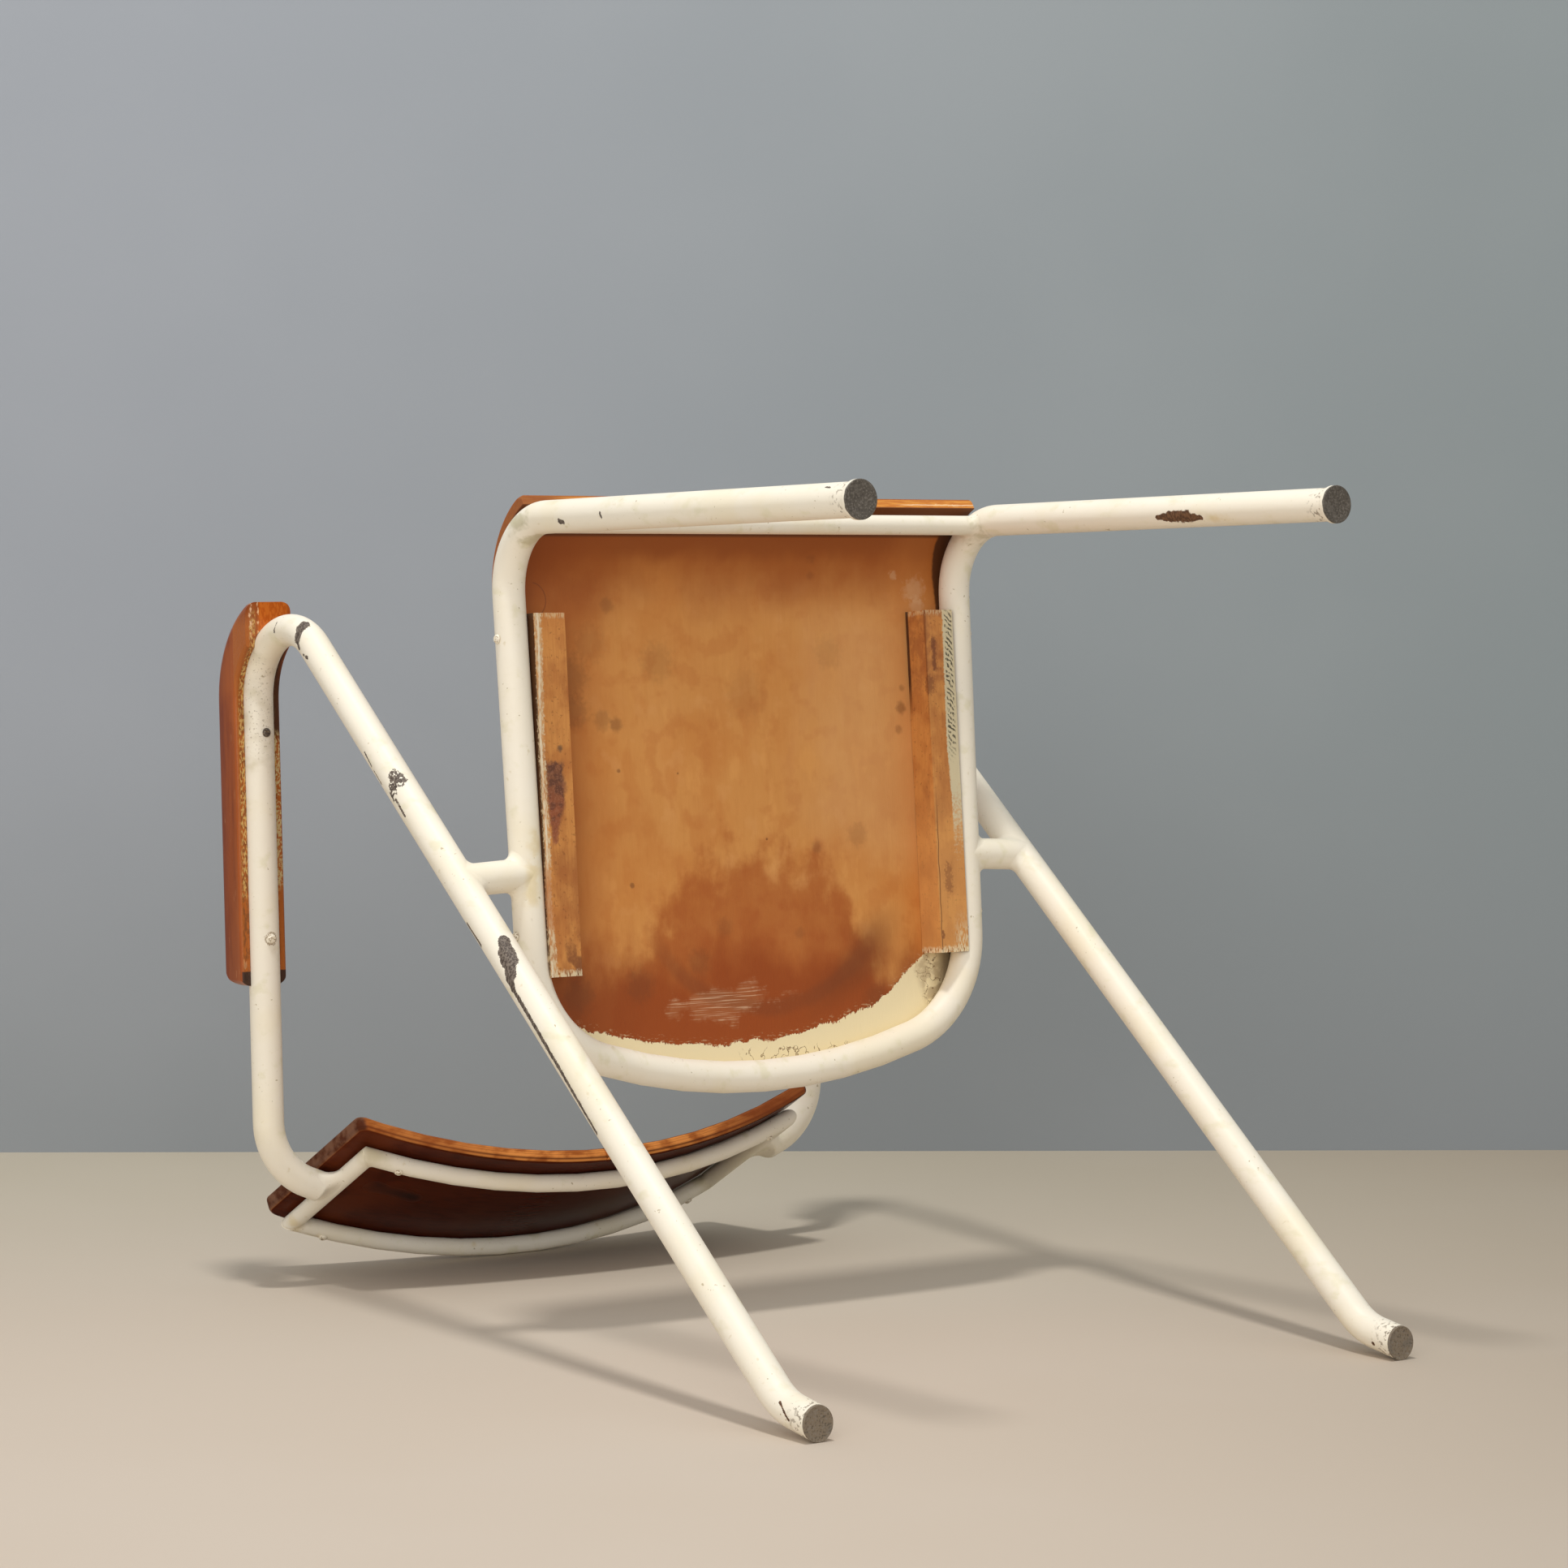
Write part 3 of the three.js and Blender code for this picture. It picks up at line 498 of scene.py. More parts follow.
rail_radius = 0.0075
rail_drop = 0.036
bend_start = seat_height - bend_radius * math.tan((math.pi / 2 + seat_slope) / 2)
rail_z = seat_height - rail_drop
rail_y = bend_radius - math.sqrt(bend_radius ** 2 - (rail_z - bend_start) ** 2)
rail_ends = [at(side * leg_spacing / 2, rail_y, rail_z) for _, side in sides]
front_rail = straight_tube("tube_front_rail", *rail_ends, rail_radius)
print("spacers", round(spacer_depth, 4), "along the seat, front rail at z", round(rail_z, 4))

# %% Back frame
mitre_round = 0.0022


def mitre(piece, corner, piece_out, other_out):
    """Slices a tube's end at half the angle between it and the tube it meets."""
    slice_off(piece, corner, (piece_out - other_out).normalized())


def mitred(piece):
    """Closes a tube that was mitred and rounds the mitres' edges."""
    soften(close(piece), mitre_round, 3, cut_degrees)
    return close(piece)


back_corners = {}
for word, side in sides:
    for name, up in (("bottom", 0), ("top", back_rise)):
        corner = on_bow(side * bow_turn, up, 0)
        rail_out = Quaternion(back_up, -side * bow_turn) @ (X * side)
        back_corners[word, name] = (corner, rail_out, back_up * (1 if up else -1))

back_rails, uprights = {}, {}
for name, up in (("bottom", 0), ("top", back_rise)):
    start = on_bow(-bow_turn, up, 0)
    heading = Quaternion(back_up, bow_turn) @ X
    pen = Pen(f"tube_back_{name}", start - heading * beyond, heading).ring(back_tube_radius, 32)
    pen.straight(beyond).bend(bow_radius, 2 * bow_turn, -back_up).straight(beyond)
    back_rails[name] = close(pen.lift())
    for word, _ in sides:
        corner, rail_out, upright_out = back_corners[word, name]
        mitre(back_rails[name], corner, rail_out, upright_out)
    mitred(back_rails[name])
for word, side in sides:
    low = on_back(side * back_half, -beyond, 0)
    high = on_back(side * back_half, back_rise + beyond, 0)
    uprights[word] = straight_tube(f"tube_upright_{word}", low, high, back_tube_radius)
    for name in ("bottom", "top"):
        corner, rail_out, upright_out = back_corners[word, name]
        mitre(uprights[word], corner, upright_out, rail_out)
    mitred(uprights[word])
print("back frame", round(2 * back_half, 4), "wide, bow radius", round(bow_radius, 4))

# %% [markdown]
# ## Welds
#
# The real joints are brazed and then painted, so two tubes flow into each other with a
# small hollow curve. A boolean would leave a sharp line. Instead we copy the parts of the
# tubes near the joint and remesh them into one skin of small squares. We swell that skin
# by the curve's radius, remesh it and shrink it again. On a round tube the two steps undo
# each other, but a hollow that was closed while it was swollen stays filled. The skin ends
# a hair under the tubes, so only the filled hollow shows.

# %% Make a weld
weld_voxel = 0.0009
under_tubes = 0.0001


def weld(name, parts, centre, reach, radius):
    """One skin over the tubes within reach of a joint, its hollows filled to a radius."""
    copies = []
    for part in parts:
        near = copy_of(part, f"{name}_part")
        deselect()
        bpy.ops.mesh.primitive_uv_sphere_add(
            segments=48, ring_count=24, radius=reach, location=centre
        )
        combine(near, named("reach"), "INTERSECT")
        copies.append(near)
    deselect()
    for near in copies:
        near.select_set(True)
    bpy.context.view_layer.objects.active = copies[0]
    bpy.ops.object.join()
    piece = bpy.context.object
    piece.name = piece.data.name = name
    for move in (radius, -radius - under_tubes, None):
        remesh = piece.modifiers.new("one skin", "REMESH")
        remesh.mode, remesh.voxel_size = "VOXEL", weld_voxel
        smooth = piece.modifiers.new("even", "SMOOTH")
        smooth.factor, smooth.iterations = 0.5, 5
        if move is not None:
            swell = piece.modifiers.new("swell", "DISPLACE")
            swell.strength, swell.mid_level = move, 0.0
        apply_modifiers(piece)
    bpy.ops.object.shade_smooth()
    return piece


# %% Weld the joints
# how far each kind of weld reaches from its joint, and the radius of its hollow
spacer_weld = (0.026, 0.0055)
front_rail_weld = (0.022, 0.0050)
hook_weld = (0.040, 0.0120)
back_corner_weld = (0.018, 0.0040)

welds = []
for (word, side), rail_end in zip(sides, rail_ends):
    spacer, inner, outer = spacers[word]
    arm, upright, out = arms[word], uprights[word], X * side * tube_radius
    joints = [
        (f"spacer_seat_{word}", [spacer, seat_frame], inner + out, spacer_weld),
        (f"spacer_leg_{word}", [spacer, arm], outer - out, spacer_weld),
        (f"front_rail_{word}", [front_rail, seat_frame], rail_end - out, front_rail_weld),
        (f"hook_{word}", [arm, upright], on_back(side * back_half, hook_rise, 0), hook_weld),
    ]
    for name in ("bottom", "top"):
        corner, parts = back_corners[word, name][0], [back_rails[name], upright]
        joints.append((f"back_{name}_{word}", parts, corner, back_corner_weld))
    for name, parts, place, sizes in joints:
        welds.append(weld(f"weld_{name}", parts, place, *sizes))
print(len(welds), "welds,", sum(len(w.data.polygons) for w in welds), "faces")

# %% [markdown]
# ## The plywood seat
#
# The seat is a sheet 8 mm thick that lies on the tube frame and curls down over its front
# bends. We draw its underside with an edge in the pen: straight for the flat part, then one
# bend for the curl. Solidify gives it its thickness, and a block drawn over the outline
# cuts it to shape.

# %% Sizes and outline of the seat sheet
ply_gap = 0.0003
ply_thickness = 0.008
ply_side_lap = 0.001
ply_rear_lap = 0.002
curl_gap = 0.003
curl_turn = math.radians(66)
curl_lead = 0.0018
ply_underside = tube_radius + ply_gap
curl_radius = bend_radius + tube_radius + curl_gap
curl_start = bend_radius * math.tan((math.pi / 2 + seat_slope) / 2) - curl_lead
seat_front = curl_start - (curl_radius + ply_thickness) * math.sin(curl_turn)
ply_front_corner = 0.0035
ply_round = 0.0011
spare_sheet = 0.03
outline_drop, outline_depth = 0.12, 0.2


def seat_outline_block():
    end, turn, rear_half_turn, origin = seat_corner(ply_side_lap, ply_rear_lap)
    front_x = origin.x - side_taper * (seat_front - origin.y)
    start = on_seat(0, seat_front, -outline_drop)
    pen = Pen("outline", start, X).point()
    corner = on_seat(front_x, seat_front, -outline_drop)
    side_end = on_seat(end.x, end.y, -outline_drop)
    pen.through([corner, side_end], [ply_front_corner])
    pen.bend(corner_radius + ply_side_lap, turn, seat_up)
    pen.bend(rear_radius + ply_rear_lap, 2 * rear_half_turn, seat_up)
    pen.bend(corner_radius + ply_side_lap, turn, seat_up)
    pen.through([on_seat(-front_x, seat_front, -outline_drop), start], [ply_front_corner])
    return filled_prism(pen, seat_up * outline_depth)


def thicken(piece, thickness):
    """Gives a sheet its thickness, on the side that its faces look to."""
    modifier = piece.modifiers.new("thickness", "SOLIDIFY")
    modifier.thickness, modifier.offset = thickness, 1
    apply_modifiers(piece)
    return close(piece)


def corners_of(piece):
    """The lowest and the highest corner of a piece's box."""
    places = [v.co for v in piece.data.vertices]
    return [Vector([end(p[i] for p in places) for i in range(3)]) for end in (min, max)]


# %% Seat sheet
sheet_start = on_seat(0, seat_depth + spare_sheet, ply_underside)
pen = Pen("plywood_seat", sheet_start, -seat_back).edge(X, 0.5)
pen.straight(seat_depth + spare_sheet - curl_start)
pen.bend(curl_radius, curl_turn, X)
seat_plate = thicken(pen.lift(), ply_thickness)
combine(seat_plate, seat_outline_block(), "INTERSECT")
soften(close(seat_plate), ply_round, 3)
close(seat_plate)
print("seat sheet box", [[round(c, 4) for c in corner] for corner in corners_of(seat_plate)])

# %% [markdown]
# ## The plywood back
#
# The back is a bowed sheet 11 mm thick in front of its frame. An upright edge, spun about
# the axis of the bow, draws its rear face. A block with rounded corners cuts it to size.

# %% Back sheet
back_ply_thickness = 0.011
back_side_lap = 0.014
back_lower_lap = 0.025
back_upper_lap = 0.013
back_lower_corner = 0.008
back_upper_corner = 0.009
back_ply_round = 0.0030
back_face = -(back_tube_radius + ply_gap)
back_face_radius = bow_radius + back_face
back_ply_half = back_half + back_side_lap
back_face_turn = math.asin(back_ply_half / back_face_radius) + math.radians(2)
middle_up = (back_rise + back_upper_lap - back_lower_lap) / 2
tall = back_rise + back_lower_lap + back_upper_lap
block_behind, block_depth = 0.09, 0.18


def back_outline_block():
    low, high = -back_lower_lap, back_rise + back_upper_lap
    right, left = -back_ply_half, back_ply_half
    outline = [(left, low), (left, high), (right, high), (right, low), (0, low)]
    corners = [on_back(x, up, block_behind) for x, up in outline]
    radii = [back_lower_corner, back_upper_corner, back_upper_corner, back_lower_corner]
    pen = Pen("outline", corners[-1], X).point()
    pen.through(corners, radii)
    return filled_prism(pen, back_rear * -block_depth)


start = on_bow(-back_face_turn, middle_up, back_face)
heading = Quaternion(back_up, back_face_turn) @ X
pen = Pen("plywood_back", start, heading).edge(back_up, tall + 0.02)
pen.bend(back_face_radius, 2 * back_face_turn, -back_up)
back_plate = thicken(pen.lift(), back_ply_thickness)
combine(back_plate, back_outline_block(), "INTERSECT")
soften(close(back_plate), back_ply_round, 4)
close(back_plate)
print("back sheet box", [[round(c, 4) for c in corner] for corner in corners_of(back_plate)])

# %% [markdown]
# ## Battens
#
# Under the seat, inside the side tubes, a wooden batten on each side holds the screws. Its
# lower face is drawn with the pen and extruded up to the seat. The seat frame's rear corner
# cuts it, and its edges are softened a little.

# %% Battens under the seat
batten_width = 0.027
batten_height = 0.024
batten_gap = 0.0006
batten_front = 0.069
batten_rear = seat_depth - 0.084
batten_round = 0.0007
battens = {}
for word, side in sides:
    front = side * (seat_half_width(batten_front) - tube_radius - batten_gap)
    rear = side * (seat_half_width(batten_rear) - tube_radius - batten_gap)
    bottom = ply_underside - ply_gap - batten_height
    front_place = on_seat(front, batten_front, bottom)
    inner_front = on_seat(front - side * batten_width, batten_front, bottom)
    pen = Pen(f"wood_batten_{word}", front_place, seat_back).point()
    pen.straight((on_seat(rear, batten_rear, bottom) - front_place).length)
    pen.heading = X * -side
    pen.straight(batten_width)
    pen.heading = (inner_front - pen.place).normalized()
    pen.straight((inner_front - pen.place).length)
    pen.heading = X * side
    pen.straight(batten_width)
    batten = filled_prism(pen, seat_up * batten_height)
    combine(batten, copy_of(seat_frame, "cut"), "DIFFERENCE")
    soften(batten, batten_round, 2)
    battens[word] = close(batten)
    print(batten.name, "is", len(batten.data.polygons), "faces")

# %% [markdown]
# ## Armrests
#
# Each armrest is a bar of wood, grooved to sit over the arm tube, that follows the arm and
# turns down with it at the front. Its section is drawn with the pen, filled, and pushed
# along the arm. Blocks cut the rounded ends, and a thicker copy of the tube cuts the groove.

# %% Sizes of the armrests and their blocks
rest_width = 0.040
rest_height = 0.0295
rest_rear_y = arm_rear_y - 0.141
rest_nose_drop = 0.019
rest_edge = 0.007
rest_lower_edge = 0.0028
rest_corner = 0.010
rest_tail = 0.024
rest_round = 0.0009
# how far the blocks reach past the wood, by how little where they only just clear it, and
# a radius too small to see
spare, hair, sharp = 0.02, 0.001, 0.0001


def arm_x_at(y):
    return arm_x - arm_draw * (y - arm_corner_y) / (arm_rear_y - arm_corner_y)


def rounded_block(name, corners, radii, depth):
    """A block drawn through corners from the middle of its last side."""
    start = (corners[-1] + corners[0]) / 2
    pen = Pen(name, start, corners[0] - start).point()
    pen.through([*corners, start], radii)
    return filled_prism(pen, depth)


def plan_block(low, high):
    """Seen from above: a rectangle with four rounded corners."""
    outline = ((high.x, low.y), (high.x, high.y), (low.x, high.y), (low.x, low.y))
    corners = [Vector((x, y, low.z - spare)) for x, y in outline]
    return rounded_block("plan", corners, [rest_corner] * 4, Z * (high.z - low.z + 2 * spare))


def profile_block(low, high):
    """Seen from the side: square, but for the long rounding of the upper rear corner."""
    front, bottom = low.y - hair, low.z - hair
    outline = ((high.y, bottom), (high.y, high.z), (front, high.z + hair), (front, bottom))
    corners = [Vector((low.x - spare, y, z)) for y, z in outline]
    radii = [sharp, rest_tail, sharp, sharp]
    return rounded_block("profile", corners, radii, X * (high.x - low.x + 2 * spare))


# %% Armrests
rests = {}
for word, side in sides:
    _, knee, corner, _, _ = arm_places(side)
    rear = at(side * arm_x_at(rest_rear_y), rest_rear_y, arm_height)
    into = (corner - rear).normalized()
    across = into.cross((knee - corner).normalized()).normalized()
    up = across.cross(into)
    if up.z < 0:
        up = -up
    half, tall = across * rest_width / 2, up * rest_height
    pen = Pen(f"wood_armrest_{word}", rear, half).point()
    section = [rear + half, rear + half + tall, rear - half + tall, rear - half, rear]
    pen.through(section, [rest_lower_edge, rest_edge, rest_edge, rest_lower_edge])
    fill_outline(1e-5)
    pen.place, pen.heading = rear, into
    pen.through([corner, knee], [bend_radius])
    rest = close(pen.lift())
    slice_off(rest, (0, 0, arm_height - rest_nose_drop), -Z)
    low, high = corners_of(close(rest))
    combine(rest, plan_block(low, high), "INTERSECT")
    combine(rest, profile_block(low, high), "INTERSECT")
    combine(rest, tube_of_arm("groove", side, tube_radius + ply_gap), "DIFFERENCE")
    soften(close(rest), rest_round, 2)
    rests[word] = close(rest)
    print(rest.name, "from", [round(c, 4) for c in low], "to", [round(c, 4) for c in high])

# %% [markdown]
# ## Feet
#
# The front legs stand on thick plastic discs, a little wider than the tube, and the rear
# legs on thin plugs cut level with the floor. Each disc starts as a cylinder whose rim is
# softened and whose sole is inset and dished a little, as a worn glide is.

# %% Glides
front_glide_radius = tube_radius + 0.0015
front_glide_thickness = 0.005
rear_glide_thickness = 0.002
plug_above, plug_below = 0.010, 0.012
glide_sides = 48
glides = {}


def worn_glide(piece, inset, dish, rim, segments):
    """Insets the lowest face, dishes the new one a little and rounds the rims."""
    lowest = min(piece.data.polygons, key=lambda face: face.center.z)
    pick_faces(piece, [lowest.index])
    bpy.ops.mesh.inset(thickness=inset)
    bpy.ops.transform.translate(value=(0, 0, dish))
    leave_faces()
    soften(piece, rim, segments, 30)
    return close(piece)


for word, side in sides:
    foot_x = side * (leg_spacing / 2 + foot_splay)
    deselect()
    bpy.ops.mesh.primitive_cylinder_add(
        vertices=glide_sides,
        radius=front_glide_radius,
        depth=front_glide_thickness,
        location=at(foot_x, front_foot_back, front_glide_thickness / 2),
    )
    disc = named(f"glide_disc_{word}")
    glides[f"foot_glide_front_{word}"] = worn_glide(disc, 0.0022, 0.0004, 0.0007, 3)

    foot = at(side * arm_x, knee_y + foot_kick, 0)
    start, end = foot - foot_direction * plug_above, foot + foot_direction * plug_below
    plug = straight_tube(f"glide_plug_{word}", start, end, tube_radius, glide_sides)
    slice_off(plug, foot, -Z)
    slice_off(plug, foot + Z * rear_glide_thickness, Z)
    glides[f"foot_glide_rear_{word}"] = worn_glide(close(plug), 0.0025, 0.0006, 0.0004, 2)
print(", ".join(glides))

# %% [markdown]
# ## Screws
#
# Twelve slotted screws hold the wood. One head is turned from a cylinder, slotted and
# softened, and its shank is a thinner cylinder below. The others are copies of it, each
# with its own mesh, turned and moved to its place.

# %% One screw
head_radius = 0.0038
head_height = 0.0020
head_crown = 0.62
head_round = 0.0006
shank_radius = 0.0020
shank_length = 0.012
slot_length, slot_width, slot_depth = 0.02, 0.0011, 0.0018


def screw_model():
    """Its head below z = 0, its shank upward."""
    deselect()
    bpy.ops.mesh.primitive_cylinder_add(
        vertices=40, radius=head_radius, depth=head_height, location=(0, 0, -head_height / 2)
    )
    screw = named("screw")
    faces = screw.data.polygons
    pick_faces(screw, [face.index for face in faces if face.center.z < -head_height * 0.99])
    bpy.ops.transform.resize(value=(head_crown, head_crown, 1))
    leave_faces()
    soften(screw, head_round, 4, 20)
    deselect()
    bpy.ops.mesh.primitive_cube_add(size=1, location=(0, 0, -head_height))
    bpy.context.object.scale = (slot_length, slot_width, slot_depth)
    combine(screw, named("slot"), "DIFFERENCE")
    deselect()
    bpy.ops.mesh.primitive_cylinder_add(
        vertices=24, radius=shank_radius, depth=shank_length, location=(0, 0, shank_length / 2)
    )
    combine(screw, named("shank"), "UNION")
    return close(screw, 30)


model = screw_model()
print("one screw is", len(model.data.polygons), "faces")

# %% Where the screws sit
# along y for the armrests, along the seat for the battens, and up the back for its rails
rest_screws = (("front", rest_rear_y - 0.194), ("rear", rest_rear_y - 0.036))
batten_screws = (("front", batten_front + 0.018), ("rear", batten_rear - 0.031))
back_screws = (("lower", 0), ("upper", back_rise))
back_screw_inset, head_sunk = 0.025, 0.0007


def bow_screw(side, up):
    """A place behind a rail of the back, and the direction forward into the sheet."""
    angle = math.asin(side * (back_half - back_screw_inset) / bow_radius)
    forward = on_bow(angle, up, 0) - on_bow(angle, up, 0.001)
    return on_bow(angle, up, back_tube_radius - head_sunk), forward


screw_places = {}
for word, side in sides:
    for end, y in rest_screws:
        place = at(side * arm_x_at(y), y, arm_height - tube_radius - ply_gap)
        screw_places[f"armrest_screw_{word}_{end}"] = (place, Z)
    for end, along in batten_screws:
        place = on_seat(side * (seat_half_width(along) + tube_radius + ply_gap), along)
        screw_places[f"seat_screw_{word}_{end}"] = (place, X * -side)
    for end, up in back_screws:
        screw_places[f"back_screw_{word}_{end}"] = bow_screw(side, up)
print("places for", len(screw_places), "screws")

# %% All the screws
first_spin, next_spin = 0.7, 1.9
screws = {}
for i, (name, (place, direction)) in enumerate(screw_places.items()):
    screw = copy_of(model, "slotted_" + name)
    spin = Quaternion(Z, first_spin + next_spin * i)
    turn = Z.rotation_difference(direction.normalized()) @ spin
    screw.data.transform(Matrix.Translation(place) @ turn.to_matrix().to_4x4())
    screws[name] = screw
bpy.data.objects.remove(model)
print(len(screws), "screws")

# %% [markdown]
# ## What each piece stands for
#
# The chair has one rigid body, so every piece rides on it. Each fine piece hides the solid
# whose place it takes. The welds stand for no solid.

# %% Ride and replace
standing = []


def stand_for(piece, finish, *nodes):
    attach(piece, "root")
    if nodes:
        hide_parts(*nodes)
    standing.append(piece)


stand_for(seat_frame, "cream_paint", "seat_frame_tube")
stand_for(front_rail, "cream_paint", "front_rail")
stand_for(seat_plate, "seat_plywood", "seat_plate")
stand_for(back_plate, "back_plywood", "back_plate")
for name, rail in back_rails.items():
    stand_for(rail, "cream_paint", f"back_{name}_rail")
for word, _ in sides:
    stand_for(arms[word], "cream_paint", f"arm_leg_tube_{word}")
    stand_for(spacers[word][0], "cream_paint", f"spacer_{word}")
    stand_for(uprights[word], "cream_paint", f"back_upright_{word}")
    stand_for(battens[word], "batten_wood", f"seat_batten_{word}")
    stand_for(rests[word], "armrest_wood", f"armrest_{word}")
for name, glide in glides.items():
    stand_for(glide, "glide", name)
for name, screw in screws.items():
    stand_for(screw, "screw", name)
for piece in welds:
    stand_for(piece, "cream_paint")
print(len(standing), "pieces ride on the one body")

# %% [markdown]
# ## Finishes written as formulas
#
# A finish is worked out from places on the chair: how far a point is from a chip, how deep
# it lies in the plywood, how far back it is on the seat. Such sums need many Math nodes.
# A small class wraps an output socket, so that Python's own operators add those nodes.
# Every other node comes from one method, which takes its kind, its settings and its inputs.

# %% Sockets in arithmetic
class Socket:
    def __init__(self, finish, link):
        self.finish, self.link = finish, link

    def maths(self, operation, *values, clamp=False):
        settings = {"operation": operation, "use_clamp": clamp}
        return self.finish.node("Math", settings, dict(enumerate(values)))

    def __add__(self, other):
        return self.maths("ADD", self, other)

    def __radd__(self, other):
        return self.maths("ADD", other, self)

    def __sub__(self, other):
        return self.maths("SUBTRACT", self, other)

    def __rsub__(self, other):
        return self.maths("SUBTRACT", other, self)

    def __mul__(self, other):
        return self.maths("MULTIPLY", self, other)

    def __rmul__(self, other):
        return self.maths("MULTIPLY", other, self)

    def __truediv__(self, other):
        return self.maths("DIVIDE", self, other)

    def __pow__(self, other):
        return self.maths("POWER", self, other)

    def __abs__(self):
        return self.maths("ABSOLUTE", self)

    def __or__(self, other):
        """The larger of the two."""
        return self.maths("MAXIMUM", self, other)

    def __and__(self, other):
        """The smaller of the two."""
        return self.maths("MINIMUM", self, other)


def apart(a, b):
    """The distance between two places that lie a and b apart along two square axes."""
    return (a ** 2 + b ** 2) ** 0.5


# %% A finish and its measuring tools
socket_names = {
    "coat": "Coat Weight",
    "coat_rough": "Coat Roughness",
    "metal": "Metallic",
    "specular_level": "Specular IOR Level",
}
veneers_in_ply = 5


class Finish:
    """A material under construction: layers of colour and roughness over a base."""

    def __init__(self, name, colour, rough):
        self.material = bpy.data.materials.new(name)
        self.material.use_nodes = True
        self.tree = self.material.node_tree
        self.shader = self.tree.nodes["Principled BSDF"]
        self.place = self.node("TexCoord", output="Object")
        self.colour, self.rough, self.height = (*colour, 1), rough, 0.0

    def node(self, kind, settings=None, inputs=None, output=0):
        made = self.tree.nodes.new("ShaderNode" + kind)
        for setting, value in (settings or {}).items():
            setattr(made, setting, value)
        for name, value in (inputs or {}).items():
            self.feed(made.inputs[name], value)
        return Socket(self, made.outputs[output])

    def feed(self, socket, value):
        """Links a socket, or gives it a plain value."""
        if isinstance(value, Socket):
            self.tree.links.new(value.link, socket)
        else:
            socket.default_value = value

    def vector(self, operation, *values, output="Value"):
        return self.node("VectorMath", {"operation": operation}, dict(enumerate(values)), output)

    def along(self, origin, axis):
        """How far a point lies from an origin, measured along an axis."""
        return self.vector("DOT_PRODUCT", self.place, axis) - Vector(origin).dot(axis)

    def from_line(self, start, end=None):
        """How far a point lies from a place, or from the nearest point of a straight stroke."""
        run = Vector() if end is None else end - start
        if run.length < 1e-6:
            return self.vector("DISTANCE", self.place, start)
        share = self.along(start, run.normalized()) / run.length
        share = share.maths("ADD", share, 0.0, clamp=True)
        nearest = self.vector("MULTIPLY_ADD", share, run, start, output="Vector")
        return self.vector("DISTANCE", self.place, nearest)

    def stroke(self, start, end):
        """The same, for ends whose y is counted from the legs' line."""
        return self.from_line(at(*start), at(*end))

    def noise(self, scale, detail=3.0, stretch=(1, 1, 1), turn=(0, 0, 0)):
        """Soft noise from 0 to 1; scale is in waves per metre, stretch multiplies it by axis."""
        inputs = {"Vector": self.place, "Scale": stretch, "Rotation": turn}
        where = self.node("Mapping", {}, inputs)
        return self.node("TexNoise", {}, {"Vector": where, "Scale": scale, "Detail": detail})

    def ramp(self, value, start, end):
        """0 before start, 1 after end, smooth between. Start may lie after end."""
        inputs = {"Value": value, "From Min": start, "From Max": end}
        return self.node("MapRange", {"interpolation_type": "SMOOTHSTEP"}, inputs)

    def band(self, value, start, end):
        """A ramp over how far a value lies from 0, on either side."""
        return self.ramp(abs(value), start, end)

    def veneer_lines(self, depth, thickness, start):
        """The glue lines of plywood: 1 in the middle of a line, 0 inside a veneer."""
        veneers = depth / thickness * veneers_in_ply
        return self.band(veneers.maths("FRACT", veneers) - 0.5, start, 0.48)

    def mix(self, share, below, above):
        """A colour between two, each of them a socket or a plain colour."""
        inputs = {0: share, 6: below, 7: above}
        for i, value in inputs.items():
            if isinstance(value, tuple) and len(value) == 3:
                inputs[i] = (*value, 1)
        return self.node("Mix", {"data_type": "RGBA"}, inputs, 2)

    def layer(self, share, colour, rough=None, height=None):
        """Lays a colour over what is there, and if given a roughness and a height in metres."""
        self.colour = self.mix(share, self.colour, colour)
        if rough is not None:
            self.rough = self.rough + share * (rough - self.rough)
        if height is not None:
            self.height = self.height + share * height

    def wash(self, value, start, end, share, colour, rough=None):
        """A layer that reaches its full share while a value goes from start to end."""
        self.layer(self.ramp(value, start, end) * share, colour, rough)

    def report(self, stage):
        print(self.material.name, stage, "with", len(self.tree.nodes), "nodes")

    def tools(self):
        """The methods that the formulas use most, to be given short names."""
        return self.ramp, self.band, self.noise, self.layer, self.wash

    def done(self, pieces=(), **constants):
        """Wires the layers up, sets what is constant and gives the finish to its pieces."""
        inputs = self.shader.inputs
        self.feed(inputs["Base Color"], self.colour)
        self.feed(inputs["Roughness"], self.rough)
        if isinstance(self.height, Socket):
            relief = {"Height": self.height * 1000, "Distance": 0.001, "Strength": 1.0}
            self.feed(inputs["Normal"], self.node("Bump", {}, relief))
        for name, value in constants.items():
            inputs[socket_names[name]].default_value = value
        for piece in pieces:
            piece.data.materials.clear()
            piece.data.materials.append(self.material)
        self.report("done")


# %% [markdown]
# ## Cream enamel
#
# The tubes are sprayed with a cream enamel. Over the years it yellowed in patches, took
# small dark pocks, and lost chips down to dark steel where the chair was knocked. Each
# large chip is a stroke between two places on the tube, with a ragged edge from noise.

